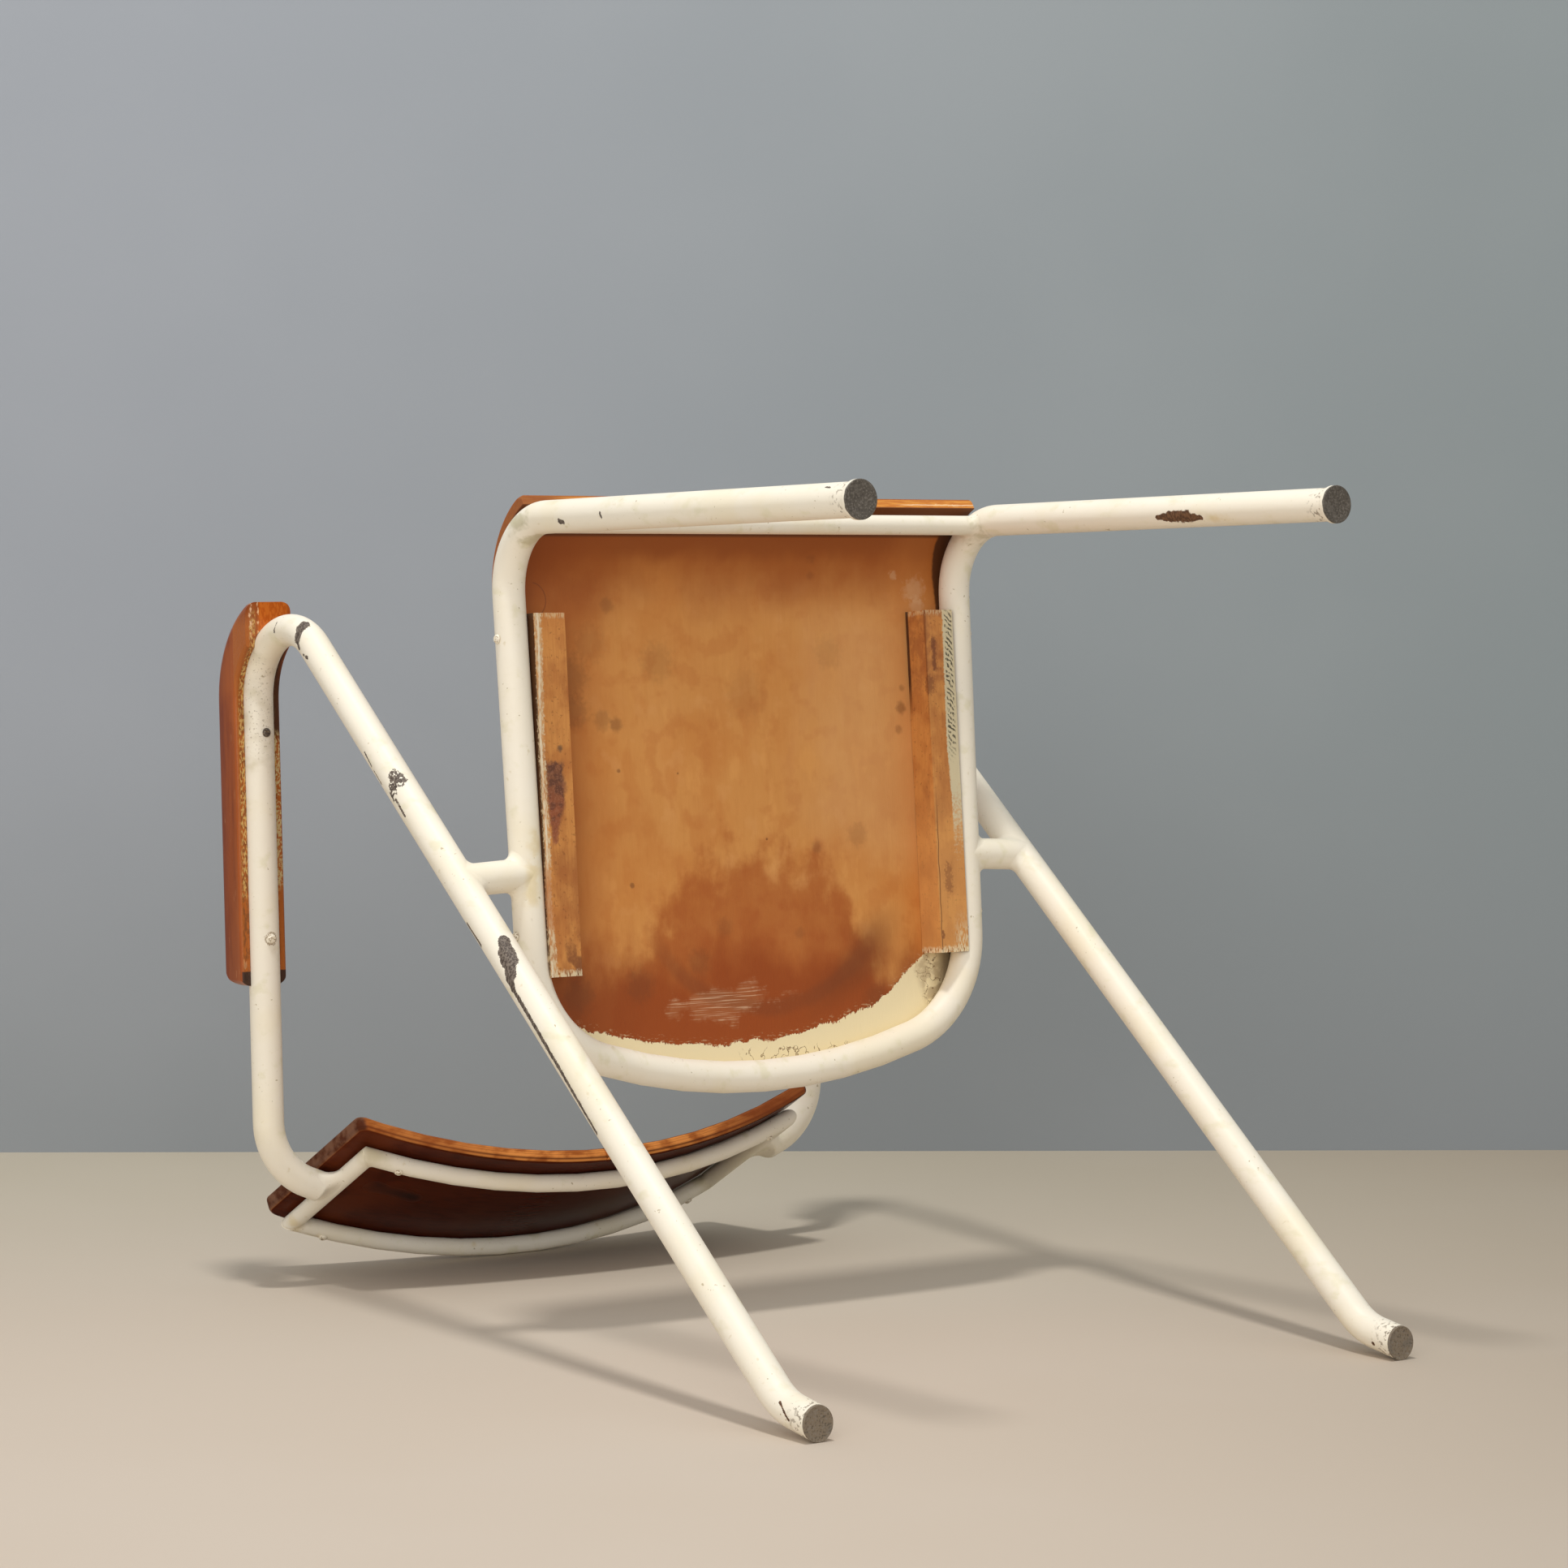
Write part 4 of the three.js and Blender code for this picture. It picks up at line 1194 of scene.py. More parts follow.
# %% Where the enamel is chipped or stained
steel_chips = [
    # start, end, radius and raggedness: first the large chip on the right rear leg and the
    # scratch that runs down from it, then those further up the leg, the bend and the front leg
    ((-0.2650, 0.3010, 0.3550), (-0.2668, 0.3068, 0.3498), 0.0048, 0.4),
    ((-0.2680, 0.3085, 0.3480), (-0.2690, 0.3150, 0.3425), 0.0068, 0.4),
    ((-0.2700, 0.3190, 0.3405), (-0.2715, 0.3250, 0.3370), 0.0048, 0.5),
    ((-0.2722, 0.3270, 0.3362), (-0.2728, 0.3340, 0.3326), 0.0026, 0.5),
    ((-0.2730, 0.3270, 0.3400), (-0.2727, 0.3876, 0.2754), 0.0017, 1.0),
    ((-0.2727, 0.3876, 0.2754), (-0.2722, 0.4287, 0.2328), 0.0016, 1.0),
    ((-0.2715, 0.2900, 0.3915), (-0.2722, 0.3049, 0.3740), 0.0014, 1.5),
    ((-0.2690, 0.1835, 0.4905), (-0.2668, 0.1890, 0.4845), 0.0050, 1.6),
    ((-0.2715, 0.1905, 0.4890), (-0.2727, 0.1990, 0.4862), 0.0042, 1.6),
    ((-0.2729, 0.1980, 0.4870), (-0.2729, 0.2143, 0.4708), 0.0010, 1.2),
    ((-0.2728, 0.1677, 0.5250), (-0.2724, 0.1779, 0.5163), 0.0007, 1.5),
    ((-0.2722, 0.1814, 0.5133), (-0.2721, 0.1909, 0.5037), 0.0007, 1.5),
    ((-0.2660, 0.0717, 0.6185), (-0.2690, 0.0770, 0.6190), 0.0044, 0.9),
    ((-0.2690, 0.0770, 0.6190), (-0.2724, 0.0830, 0.6185), 0.0038, 0.9),
    ((-0.2724, 0.0830, 0.6181), (-0.2725, 0.0895, 0.6165), 0.0019, 0.9),
    ((-0.2724, 0.0947, 0.6103), (-0.2726, 0.0952, 0.6090), 0.0010, 1.0),
    ((-0.2727, 0.0966, 0.6060), (-0.2728, 0.0970, 0.6045), 0.0016, 1.0),
    ((-0.2714, 0.0701, 0.6506), (-0.2726, 0.0769, 0.6523), 0.0009, 1.5),
    ((-0.2201, 0.0049, 0.3411), (-0.2201, 0.0059, 0.3371), 0.0019, 1.6),
    ((-0.2213, 0.0012, 0.2882), (-0.2213, 0.0042, 0.2872), 0.0012, 1.6),
    ((-0.2199, -0.0050, 0.0278), (-0.2199, -0.0040, 0.0218), 0.0008, 1.6),
]
# start, end and radius
rust_chips = [
    ((0.1988, 0.0064, 0.1775), (0.2000, 0.0084, 0.1310), 0.0022),
    ((0.1990, 0.0065, 0.1710), (0.1998, 0.0078, 0.1380), 0.0034),
    ((0.1990, 0.0062, 0.1640), (0.1996, 0.0070, 0.1440), 0.0048),
    ((-0.2714, 0.5909, 0.0279), (-0.2727, 0.6011, 0.0167), 0.0010),
    ((0.2501, 0.6042, 0.0176), (0.2501, 0.6042, 0.0176), 0.0018),
]
yellow_stains = [
    ((0.2015, 0.0101, 0.1183), (0.2019, 0.0106, 0.1048), 0.0040),
    ((-0.1803, 0.5522, 0.7598), (-0.1803, 0.5522, 0.7598), 0.0035),
    ((-0.0467, 0.5690, 0.7446), (-0.0467, 0.5690, 0.7446), 0.0030),
    ((-0.2056, 0.5388, 0.7564), (-0.2010, 0.5450, 0.7620), 0.0060),
    ((-0.2016, 0.2299, 0.4074), (-0.2077, 0.2767, 0.4053), 0.0060),
]
print(len(steel_chips), "strokes of bare steel,", len(rust_chips), "of rust")

# %% Cream enamel
cream = Finish("cream_enamel", (0.90, 0.83, 0.685), 0.42)
ramp, band, noise, layer, wash = cream.tools()
ragged = noise(260, 4) - 0.5
fine_ragged = noise(1100, 2) - 0.5
mottle = noise(16, 4)
smears = noise(70, 4, (1, 1, 0.6))
wash(mottle, 0.50, 0.70, 0.45, (0.87, 0.77, 0.54))
wash(mottle, 0.46, 0.28, 0.30, (0.91, 0.86, 0.75))
wash(smears, 0.56, 0.72, 0.48, (0.74, 0.68, 0.44))
wash(noise(140, 2), 0.68, 0.80, 0.45, (0.66, 0.55, 0.32))
for start, end, radius in yellow_stains:
    near = ramp(cream.stroke(start, end) + ragged * radius, radius * 1.5, radius * 0.3)
    layer(near * ramp(smears, 0.38, 0.56) * 0.5, (0.74, 0.58, 0.28))
pocks = ramp(noise(330, 1), 0.70, 0.78) * ramp(noise(30, 2), 0.48, 0.62)
layer(pocks * 0.75, (0.42, 0.33, 0.18), 0.55)
cream.report("yellowed")

# %% Grime at the joints, the feet and the screws
grimy = ramp(cream.stroke((-0.266, 0.090, 0.690), (-0.266, 0.160, 0.690)), 0.018, 0.006)
layer(grimy * ramp(noise(520, 4), 0.58, 0.70) * 0.55, (0.26, 0.19, 0.11), 0.6)
for end in rail_ends:
    near = ramp(cream.from_line(end) + ragged * 0.012, 0.021, 0.013)
    layer(near * ramp(smears, 0.44, 0.58) * 0.55, (0.45, 0.40, 0.22), 0.5)
for corner, rail_out, _ in back_corners.values():
    near = ramp(cream.from_line(corner, corner - rail_out * 0.01), 0.013, 0.006)
    layer(near * ramp(mottle, 0.44, 0.60) * 0.55, (0.50, 0.42, 0.20), 0.5)
scuffed_foot = ramp(cream.along((0, 0, 0), Z) + ragged * 0.03, 0.022, 0.004)
layer(scuffed_foot * ramp(noise(300, 3), 0.55, 0.60) * 0.8, (0.20, 0.15, 0.10), 0.6)
soft_grime = ramp(cream.stroke((-0.268, 0.070, 0.690), (-0.268, 0.170, 0.690)), 0.024, 0.008)
layer(soft_grime * ramp(smears, 0.40, 0.66) * 0.38, (0.60, 0.52, 0.36), 0.5)
for word in ("left", "right"):
    place, _ = screw_places[f"armrest_screw_{word}_rear"]
    ring = band(cream.from_line(place) - 0.0046 + ragged * 0.002, 0.0012, 0.0004)
    layer(ring * ramp(fine_ragged, -0.10, 0.02) * 0.75, (0.24, 0.15, 0.06), 0.6)
cream.report("soiled")

# %% Bare steel and rust
bare, rusty = 0.0, 0.0
for start, end, radius, unevenness in steel_chips:
    edge = cream.stroke(start, end) + ragged * radius * unevenness + fine_ragged * 0.002
    bare = ramp(edge, radius * 1.02, radius * 0.92) | bare
for start, end, radius in rust_chips:
    edge = cream.stroke(start, end) + ragged * radius * 1.2 + fine_ragged * 0.001
    rusty = ramp(edge, radius * 1.05, radius * 0.85) | rusty
islands = ramp(cream.stroke((-0.269, 0.185, 0.489), (-0.272, 0.195, 0.487)), 0.016, 0.010)
bare = bare * (1 - islands * ramp(noise(420, 4), 0.53, 0.56))
scuffs = noise(900, 3, (1, 0.35, 1))
steel = cream.mix(ramp(scuffs, 0.40, 0.62), (0.066, 0.046, 0.034), (0.20, 0.160, 0.125))
rust = cream.mix(ramp(scuffs, 0.42, 0.60), (0.085, 0.040, 0.020), (0.19, 0.095, 0.045))
layer(bare, steel, 0.55, -0.00012)
layer(rusty, rust, 0.62, -0.00010)
cream.rough = cream.rough + noise(40, 3) * 0.10
cream.height = cream.height + noise(190, 2) * 0.00010
tubes = [seat_frame, front_rail, *arms.values(), *back_rails.values(), *uprights.values()]
tubes += [spacer for spacer, _, _ in spacers.values()]
cream.done([*tubes, *welds], specular_level=0.35)

# %% [markdown]
# ## The seat's plywood
#
# The underside shows a varnish that aged unevenly: ochre in the middle, redder at the front
# and the rear, with an arc where something rubbed. Cream paint was sprayed on the rear
# while the seat was masked. The cut edge shows the veneers, so depth through the sheet is
# worked out: straight through the flat part, and outward from the curl's centre in front.

# %% Seat plywood: how the varnish aged
def seat_measures(finish):
    """How far across, back and up a point lies, in the seat's own directions."""
    origin = at(0, 0, seat_height)
    return [finish.along(origin, axis) for axis in (X, seat_back, seat_up)]


ply = Finish("seat_varnish", (0.69, 0.305, 0.080), 0.48)
ramp, band, noise, layer, wash = ply.tools()
across, back, up = seat_measures(ply)
ragged = noise(260, 4) - 0.5
cloud = noise(14, 6) - 0.5
patch = noise(32, 5, (1.5, 0.7, 1)) - 0.5
bands = noise(22, 3, (2.2, 0.40, 1)) - 0.5
blotches = noise(46, 6) - 0.5
grain = noise(60, 4, (6, 0.35, 6))
fine_grain = noise(160, 3, (10, 0.6, 10))
# what varies, where its colour starts and where it is full, its share and the colour
for washing in (
    (grain, 0.44, 0.70, 0.14, (0.58, 0.225, 0.050)),
    (fine_grain, 0.50, 0.74, 0.06, (0.50, 0.18, 0.040)),
    (bands, 0.00, 0.18, 0.20, (0.57, 0.205, 0.048)),
    (bands, -0.04, -0.18, 0.18, (0.76, 0.36, 0.115)),
    (cloud, -0.02, 0.16, 0.55, (0.61, 0.225, 0.047)),
    (patch, 0.03, 0.16, 0.35, (0.57, 0.195, 0.040)),
    (patch, -0.08, -0.20, 0.45, (0.78, 0.37, 0.105)),
    (blotches, 0.02, 0.16, 0.40, (0.56, 0.190, 0.042)),
    (blotches, -0.06, -0.20, 0.30, (0.76, 0.37, 0.125)),
    (back + cloud * 0.10 + patch * 0.03, 0.085, 0.020, 0.92, (0.415, 0.116, 0.022)),
    (back + patch * 0.02, 0.034, 0.020, 0.45, (0.28, 0.065, 0.013)),
):
    wash(*washing)
right_side = ramp(across + cloud * 0.07, -0.095, -0.165)
layer(right_side * 0.72, (0.49, 0.148, 0.028))
layer(right_side * ramp(back + cloud * 0.04, 0.090, 0.030) * 0.75, (0.30, 0.065, 0.011))
wash(across + cloud * 0.06, 0.135, 0.170, 0.35, (0.58, 0.200, 0.042))
paler = ramp(across + patch * 0.10, 0.030, 0.110) * ramp(back + cloud * 0.10, 0.300, 0.220)
layer(paler * ramp(back, 0.050, 0.090) * 0.40, (0.78, 0.42, 0.170))
ply.report("aged")

# %% The stain at the rear, and the arc
bulge = (across - 0.012) * (across - 0.012)
dome = back - bulge * 6.2 + cloud * 0.075 + patch * 0.085 + blotches * 0.06 + ragged * 0.008
wash(dome, 0.234, 0.276, 0.78, (0.435, 0.116, 0.021))
layer(ramp(dome, 0.240, 0.300) * ramp(blotches, -0.06, 0.14) * 0.35, (0.40, 0.098, 0.020))
wash(dome, 0.270, 0.330, 0.45, (0.42, 0.100, 0.018))
wash(back + cloud * 0.12 + patch * 0.05, 0.296, 0.356, 0.88, (0.315, 0.063, 0.010))
corners = ramp(abs(across) + cloud * 0.05, 0.085, 0.125) * ramp(back + patch * 0.05, 0.318, 0.350)
layer(corners * 0.32, (0.26, 0.055, 0.010))
from_centre = apart(across - 0.020, back - 0.243)
shade = band(from_centre - 0.126 + cloud * 0.03, 0.022, 0.004) * ramp(across, 0.040, 0.100)
layer(shade * ramp(back, 0.285, 0.330) * 0.55, (0.20, 0.050, 0.012))
arc = band(from_centre - 0.124 + cloud * 0.02, 0.009, 0.002) * ramp(back, 0.290, 0.345)
layer(arc * 0.32, (0.17, 0.050, 0.018))
ring = band(apart(across + 0.180, back - 0.058) - 0.0130, 0.0007, 0.0002)
layer(ring * ramp(across, -0.180, -0.176) * 0.6, (0.20, 0.06, 0.02))
ply.report("stained")

# %% Spots and rub marks
spots = [
    # across, back, radius, strength
    (-0.1220, 0.1469, 0.0085, 0.30), (-0.1100, 0.1510, 0.0060, 0.45),
    (-0.1098, 0.1851, 0.0018, 0.55), (-0.0562, 0.1883, 0.0010, 0.60),
    (0.0234, 0.2403, 0.0011, 0.70), (-0.1025, 0.2702, 0.0022, 0.60),
    (0.0745, 0.0258, 0.0070, 0.40), (0.0760, 0.0400, 0.0040, 0.25),
    (0.1585, 0.1431, 0.0055, 0.50), (0.1550, 0.1600, 0.0040, 0.35),
    (0.1600, 0.1280, 0.0030, 0.35), (0.1660, 0.3700, 0.0042, 0.65),
    (-0.1130, 0.0620, 0.0060, 0.30), (0.0700, 0.2480, 0.0050, 0.30),
    (-0.0200, 0.3050, 0.0080, 0.22), (0.0500, 0.3130, 0.0050, 0.22),
    (-0.1500, 0.1150, 0.0180, 0.35), (0.0100, 0.1300, 0.0200, 0.12),
    (-0.1480, 0.1400, 0.0140, 0.35), (-0.0700, 0.1050, 0.0160, 0.20),
    (0.1100, 0.2400, 0.0100, 0.22), (0.0900, 0.1000, 0.0140, 0.15),
    (-0.0450, 0.3300, 0.0110, 0.30), (0.1200, 0.3650, 0.0120, 0.30),
    (-0.1000, 0.3450, 0.0140, 0.35), (-0.1550, 0.3500, 0.0150, 0.45),
    (-0.1300, 0.0900, 0.0150, 0.18),
]
for x, y, size, strength in spots:
    spot = ply.from_line(on_seat(x, y, ply_underside)) + ragged * size
    wash(spot, size * 1.25, size * 0.4, strength, (0.17, 0.055, 0.018))
for x, y, size in ((0.1779, 0.0517, 0.010), (0.1560, 0.0400, 0.004), (0.1790, 0.0640, 0.007)):
    spot = ply.from_line(on_seat(x, y, ply_underside)) + ragged * size * 2
    wash(spot, size * 1.3, size * 0.5, 0.28, (0.80, 0.55, 0.33), 0.6)
off_rub = apart((across + 0.020) / 0.052, (back - 0.362) / 0.016)
rubbed = ramp(off_rub + blotches * 2.2 + ragged * 0.8, 1.05, 0.55)
streaks = ramp(noise(420, 5, (0.07, 2.9, 1), (0, 0, 0.03)), 0.52, 0.66)
layer(rubbed * 0.14, (0.66, 0.36, 0.17), 0.6)
layer(streaks * rubbed * 0.55, (0.78, 0.52, 0.33), 0.65)
print(len(spots), "dark spots")

# %% Overspray
spray_circle = (0.466 ** 2 - (across + 0.021) ** 2) ** 0.5 - 0.0735
spray_line = 0.378 - (across - 0.108) * 0.72
bristles = noise(700, 4, (1, 0.5, 1)) - 0.5
spray_edge = (spray_circle & spray_line) + bristles * 0.006 + ragged * 0.002
past_edge = back - (spray_edge + noise(60, 2) * 0.010 - 0.005)
rim = band(past_edge, 0.0012, 0.0003)
layer(rim * ramp(ragged, 0.0, 0.10) * 0.7, (0.16, 0.055, 0.02))
dusted = ramp(past_edge, -0.007, 0.001) * ramp(noise(480, 4, (0.5, 1.5, 1)), 0.56, 0.66)
layer(dusted * 0.55, (0.80, 0.62, 0.36), 0.6)
sprayed = ramp(past_edge, -0.0002, 0.0006)
layer(sprayed, (0.88, 0.75, 0.47), 0.5, 0.00010)
left_corner = ply.from_line(on_seat(0.172, 0.345, 0.012), on_seat(0.180, 0.368, 0.012))
left_corner = ramp(left_corner, 0.016, 0.007)
layer(sprayed * left_corner * ramp(noise(110, 4), 0.42, 0.60) * 0.75, (0.50, 0.38, 0.22), 0.7)
crazing = band(noise(95, 3) - 0.5, 0.016, 0.005)
crazed = band(back - 0.402, 0.006, 0.003) * band(across - 0.040, 0.055, 0.045)
layer(crazing * (crazed | left_corner) * sprayed * 0.85, (0.20, 0.11, 0.045), 0.7)
beside_tube = seat_half_width(0) - back * side_taper - abs(across)
shaded_corner = ramp(beside_tube, 0.026, 0.013) * ramp(back, 0.310, 0.345)
layer(shaded_corner * 0.75, (0.10, 0.045, 0.016), 0.7)
ply.report("sprayed")

# %% Veneers, the top, the lip and painted shade by the tubes
into_curl = (back - curl_start) & 0.0
depth = apart(into_curl, up - (ply_underside - curl_radius)) - curl_radius
underside = ramp(depth, 0.0012, 0.0004)
edge = ramp(depth, 0.0004, 0.0010) * ramp(depth, ply_thickness - 0.0004, ply_thickness - 0.0010)
end_grain = ramp(noise(300, 3, (0.25, 1, 4)), 0.40, 0.62)
layer(edge, ply.mix(end_grain, (0.74, 0.30, 0.055), (0.60, 0.20, 0.035)), 0.40)
layer(edge * ply.veneer_lines(depth, ply_thickness, 0.36) * 0.45, (0.30, 0.09, 0.02))
top = ramp(depth, ply_thickness - 0.0009, ply_thickness - 0.0002)
sat_on = ramp(apart(across, back - 0.20) + cloud * 0.10, 0.190, 0.080)
top_colour = ply.mix(ramp(grain, 0.38, 0.66), (0.40, 0.118, 0.024), (0.31, 0.082, 0.016))
layer(top, ply.mix(sat_on * 0.7, top_colour, (0.52, 0.190, 0.045)), 0.30)
scratches = ramp(noise(150, 4, (0.15, 2.0, 1), (0, 0, 0.4)), 0.66, 0.72)
layer(top * scratches * sat_on * 0.5, (0.66, 0.34, 0.13), 0.5)
layer(edge * ramp(across, -0.150, -0.190) * 0.75, (0.22, 0.060, 0.022))
# painted shade: the underside is darkened in a band beside the left tube at the front, where the
# curl lies in the tube's shadow
shade_edge = 0.0085 + ramp(back, 0.072, 0.012) * 0.0070
gap_shade = ramp(beside_tube - shade_edge + ragged * 0.002, 0.0016, -0.0010)
gap_shade = gap_shade * ramp(back, 0.001, 0.006) * underside
layer(gap_shade * ramp(across, 0.0, 0.1) * 0.88, (0.060, 0.022, 0.010))
# painted shadow: a thin dark line on the underside just behind the front rail
layer(ramp(back, 0.0132, 0.0112) * underside * 0.75, (0.090, 0.032, 0.012))
lip_flecks = ramp(noise(420, 4, (0.5, 1, 1)), 0.54, 0.62) * band(across - 0.182, 0.014, 0.008)
lip_flecks = lip_flecks * band(depth - 0.003, 0.0016, 0.0008)
lip_scratch = band(depth - 0.0030 + ragged * 0.0010, 0.0005, 0.0002) * ramp(across, 0.130, 0.150)
layer(edge * (lip_flecks | lip_scratch) * 0.85, (0.92, 0.72, 0.46))
ply.height = ply.height + fine_grain * 0.00008 + grain * 0.00010
ply.done([seat_plate], specular_level=0.22)

# %% [markdown]
# ## Batten wood
#
# The battens are softwood. Paint was rubbed over the strip next to the frame, most of it
# has worn off, and the right one has a dark stain. Both measures are easy in the seat's own
# directions: how far from the frame, and how far back.

# %% Both battens
wood = Finish("batten_varnish", (0.66, 0.285, 0.075), 0.55)
ramp, band, noise, layer, wash = wood.tools()
across, back, up = seat_measures(wood)
inward = (leg_spacing / 2 - tube_radius - batten_gap) - back * side_taper - abs(across)
right = ramp(across, 0.001, -0.001)
left = 1 - right
bottom = ramp(up, -0.0109, -0.0116)
ragged = noise(500, 4) - 0.5
grain = noise(90, 4, (7, 0.5, 7))
cloud = noise(35, 3)
flecks = noise(520, 5, (1.6, 0.45, 1))
flakes = ramp(flecks, 0.42, 0.56)
wash(grain, 0.42, 0.64, 0.30, (0.50, 0.180, 0.045))
wash(cloud, 0.48, 0.64, 0.55, (0.46, 0.155, 0.038))
wash(noise(50, 4, (1, 0.5, 1)), 0.50, 0.68, 0.50, (0.33, 0.100, 0.028))
wash(noise(105, 5, (1, 0.6, 1)), 0.48, 0.64, 0.30, (0.42, 0.130, 0.034))
layer(right * ramp(back + cloud * 0.03, 0.110, 0.080) * 0.30, (0.40, 0.115, 0.030))
wash(noise(380, 3), 0.60, 0.70, 0.45, (0.24, 0.075, 0.024))
layer(left * ramp(back + cloud * 0.05, 0.20, 0.30) * 0.45, (0.72, 0.36, 0.115))
wood.report("aged")

# %% The right batten: stain, knot and splintered end
stain_end = ramp(back, 0.202, 0.238)
off_stain = abs(inward - 0.0098 + stain_end * 0.0038) - 0.0082 + stain_end * 0.0062
soaked = noise(150, 3) - 0.5
stain = ramp(off_stain + ragged * 0.004 + soaked * 0.008, 0.0018, -0.0024)
stain = stain * ramp(back + ragged * 0.006 + soaked * 0.012, 0.1740, 0.1810)
stain = stain * ramp(back + soaked * 0.010, 0.2400, 0.2330) * right
stain_colour = wood.mix(ramp(back, 0.215, 0.185), (0.27, 0.075, 0.038), (0.17, 0.066, 0.040))
layer(stain * 0.85, stain_colour)
layer(stain * ramp(soaked, -0.05, 0.10) * 0.60, (0.085, 0.036, 0.026))
layer(stain * ramp(noise(700, 3), 0.52, 0.62) * 0.30, (0.46, 0.20, 0.11))
knot = wood.from_line(on_seat(-0.1770, 0.168, -0.012)) + ragged * 0.003
wash(knot, 0.0036, 0.0008, 0.75, (0.10, 0.060, 0.040))
rear_end = ramp(back + ragged * 0.03, 0.296, 0.326) * right * ramp(inward, 0.008, 0.012)
splinters = ramp(noise(110, 4, (1, 0.6, 1)), 0.42, 0.56)
layer(rear_end * splinters * 0.80, (0.22, 0.070, 0.026))
wood.report("stained")

# %% The left batten: hatched paint, marks, a split and a worn end
mottled = ramp(back + ragged * 0.03, 0.150, 0.110) * left
layer(mottled * ramp(noise(75, 4), 0.40, 0.60) * 0.60, (0.33, 0.105, 0.036))
painted_width = 0.0098 - ramp(back, 0.16, 0.24) * 0.0035
strip = ramp(inward - painted_width + ragged * 0.003, 0.0006, -0.0006) * bottom * left
strip = strip * ramp(back + ragged * 0.09, 0.262, 0.205)
layer(strip * 0.9, (0.68, 0.61, 0.40), 0.6)
slant = back * 1450 + inward * 1300 + noise(150, 3) * 13
hatching = ramp(slant.maths("SINE", slant), 0.0, 0.40) * ramp(flecks, 0.36, 0.52)
hatched = band(inward - 0.0044 + ragged * 0.002, 0.0042, 0.0030)
hatched = hatched * ramp(back + ragged * 0.02, 0.190, 0.165)
layer(strip * hatching * hatched * 0.90, (0.055, 0.047, 0.030))
marks = [
    # across, back, length, half the width, strength
    (0.1745, 0.092, 0.022, 0.0022, 0.80),
    (0.1690, 0.124, 0.006, 0.0040, 0.55),
    (0.1620, 0.272, 0.014, 0.0038, 0.55),
    (0.1780, 0.268, 0.016, 0.0042, 0.50),
    (0.1700, 0.318, 0.004, 0.0016, 0.70),
]
for x, y, length, half, strength in marks:
    mark = wood.from_line(on_seat(x, y, -0.012), on_seat(x, y + length, -0.012))
    mark = mark + ragged * half * 3.0 + (cloud - 0.5) * half
    layer(ramp(mark, half * 1.3, half * 0.3) * strength * left, (0.19, 0.060, 0.026))
cream_end = ramp(back + ragged * 0.02, 0.300, 0.331) * ramp(inward + ragged * 0.01, 0.012, 0.003)
layer(cream_end * left * flakes * 0.8, (0.78, 0.66, 0.42), 0.6)
inner_edge = abs(up + 0.0114) + abs(inward - 0.0268) + ragged * 0.0012
layer(ramp(inner_edge, 0.0020, 0.0006) * left * 0.65, (0.20, 0.070, 0.024))
split = band(inward - 0.0242 + noise(40, 2) * 0.004, 0.0007, 0.0002)
layer(split * ramp(back, 0.20, 0.24) * bottom * left * 0.7, (0.12, 0.040, 0.016))
wood.report("painted")

# %% Splintered ends, painted shade on the side by the tube, the rubbed ridge and the joint's painted shadow line
end_rim = ramp(back + ragged * 0.006, batten_rear - 0.0060, batten_rear - 0.0020)
layer(end_rim * ramp(flecks, 0.42, 0.52) * 0.8, (0.84, 0.72, 0.47), 0.6)
layer(end_rim * ramp(flecks, 0.46, 0.38) * 0.7, (0.12, 0.050, 0.022), 0.6)
front_rim = ramp(back + ragged * 0.005, batten_front + 0.0050, batten_front + 0.0015)
layer(front_rim * flakes * 0.55, (0.74, 0.58, 0.34), 0.6)
# painted shade: the batten's side face against the tube is made near black, for the shadow in the
# gap between them
shaded_side_by_tube = ramp(inward, 0.0009, 0.0004) * ramp(up, -0.0118, -0.0112)
layer(shaded_side_by_tube * 0.90, (0.065, 0.026, 0.011), 0.8)
around_corner = inward - (up + 0.012)
ridge_centre = 0.0030 - ramp(back, 0.075, 0.180) * 0.0040 - ramp(back, 0.235, 0.280) * 0.0020
ridge_half = 0.0033 + ramp(back, 0.290, 0.320) * 0.0014
off_ridge = abs(around_corner - ridge_centre) - ridge_half + ragged * 0.006
ridge = ramp(off_ridge, 0.0006, -0.0008) * ramp(inward, 0.016, 0.012) * right
stained_ridge = ramp(back, 0.245, 0.262) * ramp(back, 0.306, 0.292)
layer(ridge * stained_ridge * 0.7, (0.56, 0.235, 0.090), 0.6)
layer(ridge * (1 - stained_ridge * 0.75) * (0.20 + flakes * 0.68), (0.74, 0.58, 0.36), 0.65)
core = band(around_corner - ridge_centre + ragged * 0.0016, 0.0012, 0.0004)
core = core * ramp(cloud, 0.64, 0.46)
layer(ridge * core * (1 - stained_ridge) * 0.75, (0.88, 0.78, 0.58), 0.6)
# painted shadow: a thin dark line along the inner side where the batten meets the seat
joint = ramp(up, 0.0084, 0.0094) * ramp(inward, 0.0256, 0.0262)
layer(joint * 0.9, (0.045, 0.014, 0.006), 0.9)
wood.height = wood.height + grain * 0.00015
wood.done(battens.values(), specular_level=0.22)

# %% [markdown]
# ## Armrest varnish
#
# The armrests have the thickest varnish, dark red-brown on the sides and orange on the
# rounded nose. Hands wore it down to ochre wood along the lower face beside the tube.

